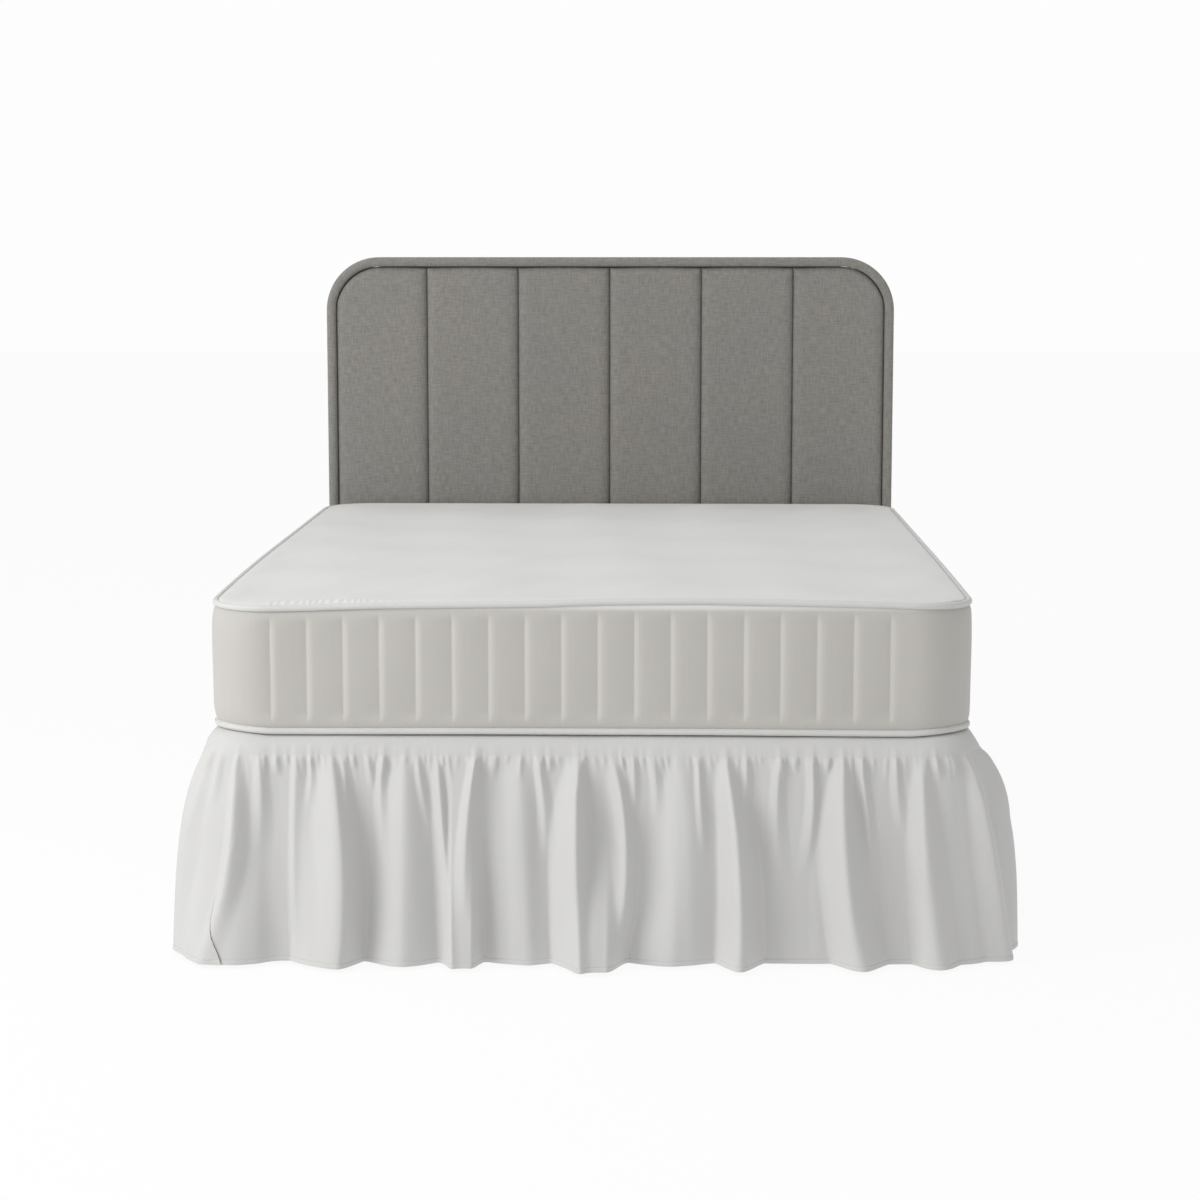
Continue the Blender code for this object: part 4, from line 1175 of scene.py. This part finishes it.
# %% [markdown]
# ## Things that follow a path
#
# The mattress's tapes are tubes along its edge, and every seam has stitches at even
# steps. Both follow a path, so a Geometry Nodes tree makes each kind once: the input
# is a mesh of edges, which the tree turns into curves. The trees have named inputs
# for their sizes.


# %% Paths, and a tree applied to a path
def path_object(name, paths, closed=False):
    """A mesh of edges only. Each path is an array of points."""
    points, edges = [], []
    for path in paths:
        first, count = len(points), len(path)
        points += [tuple(p) for p in np.asarray(path).tolist()]
        edges += [(first + i, first + i + 1) for i in range(count - 1)]
        if closed:
            edges.append((first + count - 1, first))
    mesh = bpy.data.meshes.new(name)
    mesh.from_pydata(points, edges, [])
    return place_object(name, mesh)


def grown(guide, tree, **sizes):
    """The mesh that a tree grows on a guide. The guide itself goes away."""
    modifier = guide.modifiers.new("grown", "NODES")
    modifier.node_group = tree
    wanted = {key.replace("_", " "): value for key, value in sizes.items()}
    for item in tree.interface.items_tree:
        if item.item_type == "SOCKET" and item.in_out == "INPUT" and item.name in wanted:
            modifier[item.identifier] = wanted.pop(item.name)
    if wanted:
        raise ValueError(f"no input {sorted(wanted)}")
    mesh = bpy.data.meshes.new_from_object(evaluated(guide))
    name = guide.name
    bpy.data.objects.remove(guide)
    return place_object(name, mesh)


def geometry_tree(name, sizes):
    """A Geometry Nodes tree with a guide, one named input for each size and a material."""
    tree = bpy.data.node_groups.new(name, "GeometryNodeTree")
    tree.interface.new_socket("Guide", in_out="INPUT", socket_type="NodeSocketGeometry")
    for label, default in sizes:
        socket = tree.interface.new_socket(label, in_out="INPUT", socket_type="NodeSocketFloat")
        socket.default_value = default
    tree.interface.new_socket("Material", in_out="INPUT", socket_type="NodeSocketMaterial")
    tree.interface.new_socket("Piece", in_out="OUTPUT", socket_type="NodeSocketGeometry")
    return tree, tree.nodes.new("NodeGroupInput").outputs


def end_tree(tree, sizes, geometry):
    """Smooth, real and in its material, so that the export keeps all of it."""
    smooth = add_node(tree, "GeometryNodeSetShadeSmooth", Geometry=geometry)
    real = add_node(tree, "GeometryNodeRealizeInstances", Geometry=smooth.outputs["Geometry"])
    dressed = add_node(
        tree, "GeometryNodeSetMaterial",
        Geometry=real.outputs["Geometry"], Material=sizes["Material"],
    )
    out = tree.nodes.new("NodeGroupOutput").inputs
    tree.links.new(dressed.outputs["Geometry"], out["Piece"])
    return tree


# %% The tree for a tape
TAPE_STEP, TAPE_SIDES = 0.006, 12
TAPE_LUMPS = 40.0        # the noise that makes it uneven, in changes per metre


def tape_tree():
    """A tube along the guide, a little thicker and thinner by turns."""
    tree, sizes = geometry_tree("tape along an edge", [("Radius", 0.006), ("Unevenness", 0.1)])
    curve = add_node(tree, "GeometryNodeMeshToCurve", Mesh=sizes["Guide"])
    even = add_node(
        tree, "GeometryNodeResampleCurve", {"mode": "LENGTH"},
        Curve=curve.outputs["Curve"], Length=TAPE_STEP,
    )
    lumps = add_node(tree, "ShaderNodeTexNoise", Scale=TAPE_LUMPS, Detail=2.0)
    spread_out = math_node(tree, "SUBTRACT", lumps.outputs["Fac"], 0.5)
    factor = math_node(tree, "MULTIPLY", spread_out, sizes["Unevenness"])
    factor = math_node(tree, "ADD", factor, 1.0)
    sized = add_node(
        tree, "GeometryNodeSetCurveRadius", Curve=even.outputs["Curve"], Radius=factor
    )
    radius = add_node(tree, "GeometryNodeInputRadius")
    ring = add_node(
        tree, "GeometryNodeCurvePrimitiveCircle", Resolution=TAPE_SIDES, Radius=sizes["Radius"]
    )
    tube = add_node(
        tree, "GeometryNodeCurveToMesh", Curve=sized.outputs["Curve"],
        Profile_Curve=ring.outputs["Curve"], Scale=radius.outputs[0],
    )
    return end_tree(tree, sizes, tube.outputs["Mesh"])


# %% The tree for a row of stitches
def stitch_tree():
    """A bead at every step along the guide, stretched along it."""
    tree, sizes = geometry_tree(
        "row of stitches", [("Step", 0.004), ("Length", 0.003), ("Thickness", 0.0007)]
    )
    curve = add_node(tree, "GeometryNodeMeshToCurve", Mesh=sizes["Guide"])
    points = add_node(
        tree, "GeometryNodeCurveToPoints", {"mode": "LENGTH"},
        Curve=curve.outputs["Curve"], Length=sizes["Step"],
    )
    bead = add_node(tree, "GeometryNodeMeshIcoSphere", Radius=0.5, Subdivisions=1)
    turned = add_node(
        tree, "FunctionNodeAlignRotationToVector", {"axis": "Z"}, Vector=points.outputs["Tangent"]
    )
    shape = add_node(
        tree, "ShaderNodeCombineXYZ",
        X=sizes["Thickness"], Y=sizes["Thickness"], Z=sizes["Length"],
    )
    row = add_node(
        tree, "GeometryNodeInstanceOnPoints", Points=points.outputs["Points"],
        Instance=bead.outputs["Mesh"], Rotation=turned.outputs["Rotation"], Scale=shape.outputs[0],
    )
    return end_tree(tree, sizes, row.outputs["Instances"])


tape_nodes, stitch_nodes = tape_tree(), stitch_tree()
print("trees:", tape_nodes.name, "and", stitch_nodes.name)

# %% [markdown]
# ## The tapes and the mattress's stitches
#
# A tape binds the border to the top and to the bottom. It is a smooth, closely woven
# strip, so it shines a little more than the knit. Its path is the mattress's edge, so
# the upper one dips where the foot end has settled.


# %% A plain finish that needs no UV map
def plain_cloth(name, light, dark, threads, patch, bump_mm, roughness=0.85, sheen=0.25, flat=False):
    """A woven finish on Object coordinates, for upright pieces or, with `flat`, for a flat one."""
    material, tree, shader = start_finish(name, roughness, sheen)
    place = add_node(tree, "ShaderNodeTexCoord").outputs["Object"]
    x, y, z = add_node(tree, "ShaderNodeSeparateXYZ", Vector=place).outputs
    across, up = (x, y) if flat else (math_node(tree, "ADD", x, y), z)
    flat_place = add_node(tree, "ShaderNodeCombineXYZ", X=across, Y=up).outputs[0]
    height, *marks = woven(tree, flat_place, place, threads, streak_width=0.003, patch=patch)
    colour = blend_colours(tree, mottled(tree, *marks), dark, light)
    end_finish(tree, shader, colour, height, bump_mm)
    return material


tape_cloth = plain_cloth(
    "mattress_tape", light=(0.63, 0.63, 0.615), dark=(0.58, 0.58, 0.56),
    threads=1400, patch=0.2, bump_mm=0.05, roughness=0.6, sheen=0.2,
)
thread = plain_cloth(
    "thread", light=(0.66, 0.66, 0.65), dark=(0.60, 0.60, 0.59),
    threads=3000, patch=0.1, bump_mm=0.05, roughness=0.7, sheen=0.2,
)

# %% The two tapes
edge = round_mattress(np.linspace(0, MATTRESS_ROUND, 900, endpoint=False))


def edge_path(outset, rise, upper):
    """The mattress's edge, moved out and up from the middle of a tape."""
    x, y, out_x, out_y = edge
    z = tape_height(x, y, upper) + rise
    return np.stack([x + out_x * outset, y + out_y * outset, z], axis=-1)


tapes = {}
for node, upper in (("mattress_tape_top", True), ("mattress_tape_bottom", False)):
    guide = path_object(f"{node}_fine", [edge_path(0.0, 0.0, upper)], closed=True)
    tapes[node] = grown(
        guide, tape_nodes, Radius=TAPE_RADIUS, Unevenness=0.10, Material=tape_cloth
    )
    print(f"{node}: {triangles_of(tapes[node])} triangles")

# %% Stitches along the tapes and in the border's grooves
TapeLine = namedtuple("TapeLine", "outset rise upper")
TAPE_LINES = [
    TapeLine(-0.0048, 0.0050, True), TapeLine(0.0056, -0.0036, True),
    TapeLine(0.0056, 0.0036, False),
]
PROUD = 0.0003           # how far the stitches stand off the border's cloth

tape_lines = [edge_path(*row) for row in TAPE_LINES]
tape_stitches = grown(
    path_object("tape_stitches", tape_lines, closed=True), stitch_nodes,
    Step=0.0060, Length=0.0040, Thickness=0.0010, Material=thread,
)
seams = sewn_lines()
groove_lines = []
for x, y, out_x, out_y, gone in zip(*round_mattress(seams), seams):
    low, high = tape_height(x, y, False), tape_height(x, y, True)
    line = []
    for share in np.linspace(0.12, 0.88, 24):
        z = low + (high - low) * share
        outset = border_swell(share) + float(puff(np.array([gone]), share)[0]) + PROUD
        outset += uneven_filling(x, y, z) * math.sin(math.pi * share)
        line.append((x + out_x * outset, y + out_y * outset, z))
    groove_lines.append(line)
groove_stitches = grown(
    path_object("border_stitches", groove_lines), stitch_nodes,
    Step=0.0050, Length=0.0036, Thickness=0.0009, Material=thread,
)
for piece in (tape_stitches, groove_stitches):
    print(f"{piece.name}: {triangles_of(piece)} triangles")

# %% [markdown]
# ## The headboard
#
# Six upright channels of foam under one cloth, drawn down hard at the seams, stand in
# a padded rim. A channel is nearly flat and rolls over only near its edges. The cloth
# is a coarse grey weave of yarns that differ in tone, with warmer and cooler patches.

# %% The grey woven cloth
# A slub is a thick place in a yarn: changes per metre across and along the cloth.
SLUBS = ((260.0, 38.0), (38.0, 300.0))


def heathered(name, warm, cool, deep):
    """Yarns of several greys. The pattern follows the cloth's own UV map, in metres."""
    material, tree, shader = start_finish(name, 0.9, 0.35, sheen_roughness=0.45, specular=0.2)
    place = add_node(tree, "ShaderNodeTexCoord").outputs
    height, _, tone = woven(
        tree, place["UV"], place["Object"], threads=700, streak_width=0.0022, patch=0.22
    )
    u, v, _ = add_node(tree, "ShaderNodeSeparateXYZ", Vector=place["UV"]).outputs
    noises = []
    for across, along in SLUBS:
        stretched = add_node(
            tree, "ShaderNodeCombineXYZ",
            X=math_node(tree, "MULTIPLY", u, across), Y=math_node(tree, "MULTIPLY", v, along),
        ).outputs[0]
        noise = add_node(tree, "ShaderNodeTexNoise", Vector=stretched, Scale=1.0, Detail=3.0)
        noises.append(noise.outputs["Fac"])
    mixed = math_node(tree, "MULTIPLY", math_node(tree, "ADD", *noises), 0.5)
    yarn = add_node(tree, "ShaderNodeMapRange", Value=mixed, From_Min=0.38, From_Max=0.60)
    plain = blend_colours(tree, tone, cool, warm)
    colour = blend_colours(tree, yarn.outputs["Result"], deep, plain)
    end_finish(tree, shader, colour, height, bump_mm=0.3)
    return material


grey_weave = heathered(
    "headboard_cloth", warm=(0.290, 0.275, 0.251), cool=(0.270, 0.264, 0.252),
    deep=(0.206, 0.199, 0.181),
)
print("cloth:", grey_weave.name)

# %% The shape of a channel
BOARD_HALF, BOARD_TOP, BOARD_CORNER = 0.750, 1.363, 0.140
BOARD_FRONT, BOARD_BACK = HEAD_Y + 0.030, HEAD_Y + 0.075
RIM_WIDTH = 0.024
PAD_COUNT, PAD_BOTTOM = 6, 0.446
PAD_DEPTH, PAD_EDGE, PAD_ROLL = 0.026, 0.009, 0.030
PAD_ARCH, PAD_SOFT, TOP_ROOM = 0.0035, 0.0006, 0.0006
PAD_SHARP = 60           # degrees, above which an edge of a pad is drawn sharp
SEAM_PULL, PULL_WIDTH, PULL_WAVES = 0.0004, 0.014, (0.021, 0.033, 0.058)
INNER_HALF, INNER_TOP = BOARD_HALF - RIM_WIDTH - GAP, BOARD_TOP - RIM_WIDTH - GAP


def inner_top(x):
    """Height of the rim's inner edge over x, where the channels end."""
    radius = BOARD_CORNER - RIM_WIDTH
    into = np.clip(np.abs(x) - (INNER_HALF - radius), 0, radius)
    return INNER_TOP - radius + np.sqrt(radius ** 2 - into ** 2)


def eased(steps, ease):
    """0 to 1 in even steps, which `ease` draws towards both ends."""
    even = np.linspace(0, 1, steps)
    return (1 - ease) * even + ease * (1 - np.cos(even * math.pi)) / 2


def channel(number, columns, rows):
    """One closed body. Its front rolls over to its edges and puckers faintly at the seams."""
    width = 2 * INNER_HALF / PAD_COUNT
    left = -INNER_HALF + number * width + GAP / 2
    right = left + width - GAP
    x = np.tile(left + (right - left) * eased(columns, 0.55), (rows, 1))
    arch = PAD_ARCH * ((x - (left + right) / 2) / (width / 2)) ** 2
    top = inner_top(x) - TOP_ROOM - arch
    z = top + (PAD_BOTTOM - top) * eased(rows, 0.4)[:, None]
    edge_way = np.minimum(np.minimum(x - left, right - x), np.minimum(z - PAD_BOTTOM, top - z))
    rise = np.sqrt(np.maximum(0.0, 1 - (1 - np.clip(edge_way / PAD_ROLL, 0, 1)) ** 2))
    rng = np.random.default_rng(40 + number)
    pull = sum(np.sin(2 * math.pi * z / wave + rng.uniform(0, 6.28)) for wave in PULL_WAVES)
    seam = np.exp(-(np.minimum(x - left, right - x) / PULL_WIDTH) ** 2)
    soft = PAD_SOFT * np.sin(2 * math.pi * z / 0.31 + number) * rise
    front = PAD_EDGE + (PAD_DEPTH - PAD_EDGE - GAP) * rise
    front = front + SEAM_PULL * pull * seam * (rise > 0) - soft
    y = BOARD_FRONT - GAP - np.minimum(front, PAD_DEPTH - GAP)
    return closed_pad(f"headboard_channel_{number + 1}", np.stack([x, y, z], axis=-1))


# %% A closed body from its front, and the six channels
def closed_pad(name, front):
    """The sides run back to the board from the front's edge. The back is one flat face."""
    rows, columns = front.shape[:2]
    count = rows * columns
    numbers = np.arange(count).reshape(rows, columns)
    corners = (numbers[:-1, :-1], numbers[1:, :-1], numbers[1:, 1:], numbers[:-1, 1:])
    faces = [tuple(q) for q in np.stack(corners, axis=-1).reshape(-1, 4).tolist()]
    rim = [*numbers[0], *numbers[1:, -1], *numbers[-1, -2::-1], *numbers[-2:0:-1, 0]]
    rim = [int(number) for number in rim]
    for i in range(len(rim)):
        j = (i + 1) % len(rim)
        faces.append((rim[i], rim[j], count + j, count + i))
    faces.append(tuple(count + i for i in range(len(rim))))
    points = front.reshape(-1, 3)
    back_edge = points[rim]
    back_edge[:, 1] = BOARD_FRONT - GAP
    points = np.vstack([points, back_edge])
    made = cloth_object(name, points, points[:, ::2], faces, grey_weave)
    made.data.set_sharp_from_angle(angle=math.radians(PAD_SHARP))
    return made


channels = [channel(number, columns=31, rows=90) for number in range(PAD_COUNT)]
print(f"{len(channels)} channels of {triangles_of(channels[0])} triangles")

# %% The rim round the headboard
RIM_FRONT, RIM_CURVE = HEAD_Y + 0.001, 0.0105
RIM_STRAIGHT, RIM_BEVEL = 0.022, 0.003      # where its sides begin, and its back edges' bevel
RIM_MIDDLE = 8                              # the point of its section that faces forward


def rim_path(corner_steps, side_steps):
    """x, z and the way outwards, from the floor at the left over the top to the right."""
    half, top = BOARD_HALF - RIM_WIDTH / 2, BOARD_TOP - RIM_WIDTH / 2
    radius = BOARD_CORNER - RIM_WIDTH / 2
    rows = [(-half, z, -1.0, 0.0) for z in np.linspace(0, top - radius, side_steps, endpoint=False)]
    for turn in np.linspace(0, math.pi / 2, corner_steps):
        way = (-math.cos(turn), math.sin(turn))
        rows.append((-half + radius + radius * way[0], top - radius + radius * way[1], *way))
    inner = np.linspace(-half + radius, 0, side_steps // 2 + 1)[1:]
    rows += [(x, top, 0.0, 1.0) for x in inner]
    return np.array(rows + [(-x, z, -wx, wz) for x, z, wx, wz in rows[-2::-1]])


def rim_of_cloth():
    """The rim's section, led along its path."""
    path = rim_path(corner_steps=24, side_steps=60)
    half, bevelled = RIM_WIDTH / 2, BOARD_BACK - RIM_BEVEL
    section = [(-half, bevelled), (-half, RIM_FRONT + RIM_STRAIGHT)]
    for turn in np.linspace(0, math.pi, 13):
        y = RIM_FRONT + RIM_CURVE * (1 - math.sin(turn) ** 0.8)
        section.append((-half * math.cos(turn), y))
    section += [(half, RIM_FRONT + RIM_STRAIGHT), (half, bevelled)]
    section += [(half - RIM_BEVEL, BOARD_BACK), (-half + RIM_BEVEL, BOARD_BACK)]
    offs, ys = np.array(section).T
    grid = np.empty((len(path), len(section), 3))
    for i, (x, z, wx, wz) in enumerate(path):
        grid[i] = np.stack([x + wx * offs, ys, z + wz * offs], axis=-1)
    along = added_up(np.linalg.norm(np.diff(grid[:, RIM_MIDDLE], axis=0), axis=-1))
    around = added_up(np.hypot(np.diff(offs), np.diff(ys)))
    grid, place = grid[::-1], np.stack(np.meshgrid(around, along), axis=-1)[::-1]
    return grid_object("headboard_rim_fine", grid, place, grey_weave, around=True, caps=True)


board_rim = rim_of_cloth()
print(f"rim: {triangles_of(board_rim)} triangles")

# %% [markdown]
# ## The hidden parts
#
# The base, the legs, the deck and the board stay as the CAD model has them, since
# their shapes are right. They get cloth and plastic finishes of their own.

# %% Finishes for the CAD nodes that stay
def moulded(name, colour):
    """Black moulded plastic with a fine grain, paler where it is worn."""
    material, tree, shader = start_finish(name, 0.45, sheen=0.0, specular=0.5)
    place = add_node(tree, "ShaderNodeTexCoord").outputs["Object"]
    noises = [
        add_node(tree, "ShaderNodeTexNoise", Vector=place, Scale=scale, Detail=detail)
        for scale, detail in ((900.0, 2.0), (30.0, 3.0))
    ]
    grain, worn = (noise.outputs["Fac"] for noise in noises)
    paler = [1.5 * level for level in colour]
    colours = blend_colours(tree, worn, colour, paler)
    end_finish(tree, shader, colours, grain, bump_mm=0.1, strength=0.6)
    return material


divan_cloth = plain_cloth("divan_cloth", (0.50, 0.49, 0.46), (0.44, 0.43, 0.40), 900, 0.3, 0.1)
deck_cotton = plain_cloth(
    "deck_cotton", (0.60, 0.60, 0.592), (0.555, 0.553, 0.543), 2200, 0.3, 0.05, flat=True
)
board_cloth = plain_cloth("board_cloth", (0.27, 0.26, 0.24), (0.21, 0.20, 0.185), 700, 0.25, 0.2)
leg_plastic = moulded("leg_plastic", (0.03, 0.03, 0.03))
FINISHES = {"base": divan_cloth, "deck": deck_cotton, "headboard_board": board_cloth}
FINISHES.update({f"leg_{number}": leg_plastic for number in range(1, 7)})
for node, material in FINISHES.items():
    for slot in nodes[node].material_slots:
        slot.material = material
print("finished in place:", ", ".join(FINISHES))

# %% [markdown]
# ## The hems' stitches
#
# Each hem is turned up and sewn with a straight line of stitches, as near the edge as
# the machine's foot allows.


# %% Stitches along a hem
HEM_PROUD = 0.0002       # how far the stitches stand off the cloth


def hem_stitches(name, points):
    """A row on the cloth's face, at the height of the stitched line."""
    heights = points[:, 0, 2]
    line = points[np.argmin(np.abs(heights - (HEM_Z + HEM_STITCH)))]
    along = np.gradient(line, axis=0)
    out = np.stack([along[:, 1], -along[:, 0], 0 * along[:, 0]], axis=-1)
    out /= np.linalg.norm(out, axis=-1)[:, None]
    line = line + out * HEM_PROUD
    return grown(
        path_object(name, [line[2:-2]]), stitch_nodes,
        Step=0.0035, Length=0.0026, Thickness=0.0007, Material=thread,
    )


drops = {"foot": foot_points, "left": left_points, "right": right_points}
hems = {side: hem_stitches(f"{side}_hem_stitches", points) for side, points in drops.items()}
print("hem stitches:", {side: triangles_of(piece) for side, piece in hems.items()})

# %% [markdown]
# ## The floor
#
# A pale, even floor. It gives off most of its brightness itself, so the faint shadow
# under the hem stays faint, as in a studio with light from all round.

# %% The floor
FLOOR_GREY, FLOOR_GLOW = 0.06, 0.925
FLOOR_REACH, FLOOR_Z = 30, -0.0005

corners = [
    (x * FLOOR_REACH, y * FLOOR_REACH, FLOOR_Z) for x, y in ((-1, -1), (1, -1), (1, 1), (-1, 1))
]
floor_mesh = bpy.data.meshes.new("floor")
floor_mesh.from_pydata(corners, [], [(0, 1, 2, 3)])
floor = place_object("floor", floor_mesh)
pale, _, floor_shader = start_finish("pale_floor", 1.0, sheen=0.0, specular=0.0)
floor_shader.inputs["Base Color"].default_value = (FLOOR_GREY, FLOOR_GREY, FLOOR_GREY, 1)
floor_shader.inputs["Emission Color"].default_value = WHITE
floor_shader.inputs["Emission Strength"].default_value = FLOOR_GLOW
floor_mesh.materials.append(pale)
floor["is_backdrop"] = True
print("floor laid")

# %% [markdown]
# ## What each piece is
#
# Last, every piece is tied to the model: it rides on the root body, and the CAD node
# that it stands for is hidden.

# %% Tying the pieces to the model
Dressed = namedtuple("Dressed", "piece node finish")
PIECES = [
    Dressed(foot, "drop_foot", "skirt_cotton"),
    Dressed(left, "drop_left", "skirt_cotton"),
    Dressed(right, "drop_right", "skirt_cotton"),
    Dressed(band, "band", "skirt_cotton"),
    Dressed(mattress, "mattress", "mattress_knit"),
    Dressed(tapes["mattress_tape_top"], "mattress_tape_top", "mattress_tape"),
    Dressed(tapes["mattress_tape_bottom"], "mattress_tape_bottom", "mattress_tape"),
    Dressed(board_rim, "headboard_rim", "headboard_cloth"),
    Dressed(hems["foot"], None, "skirt_cotton"),
    Dressed(hems["left"], None, "skirt_cotton"),
    Dressed(hems["right"], None, "skirt_cotton"),
    Dressed(tape_stitches, None, "mattress_tape"),
    Dressed(groove_stitches, None, "mattress_knit"),
]
for number, piece in enumerate(channels, 1):
    PIECES.append(Dressed(piece, f"headboard_pad_{number}", "headboard_cloth"))
for row in PIECES:
    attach(row.piece, "root")
    if row.node:
        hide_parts(row.node)
print(f"{len(PIECES)} pieces on the model")

# %% The size, and the end
visual_box = [list(corner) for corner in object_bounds()]
for label, box in (("CAD", cad_box), ("visual", visual_box)):
    print(f"{label} box {np.round(box, 4).tolist()}")
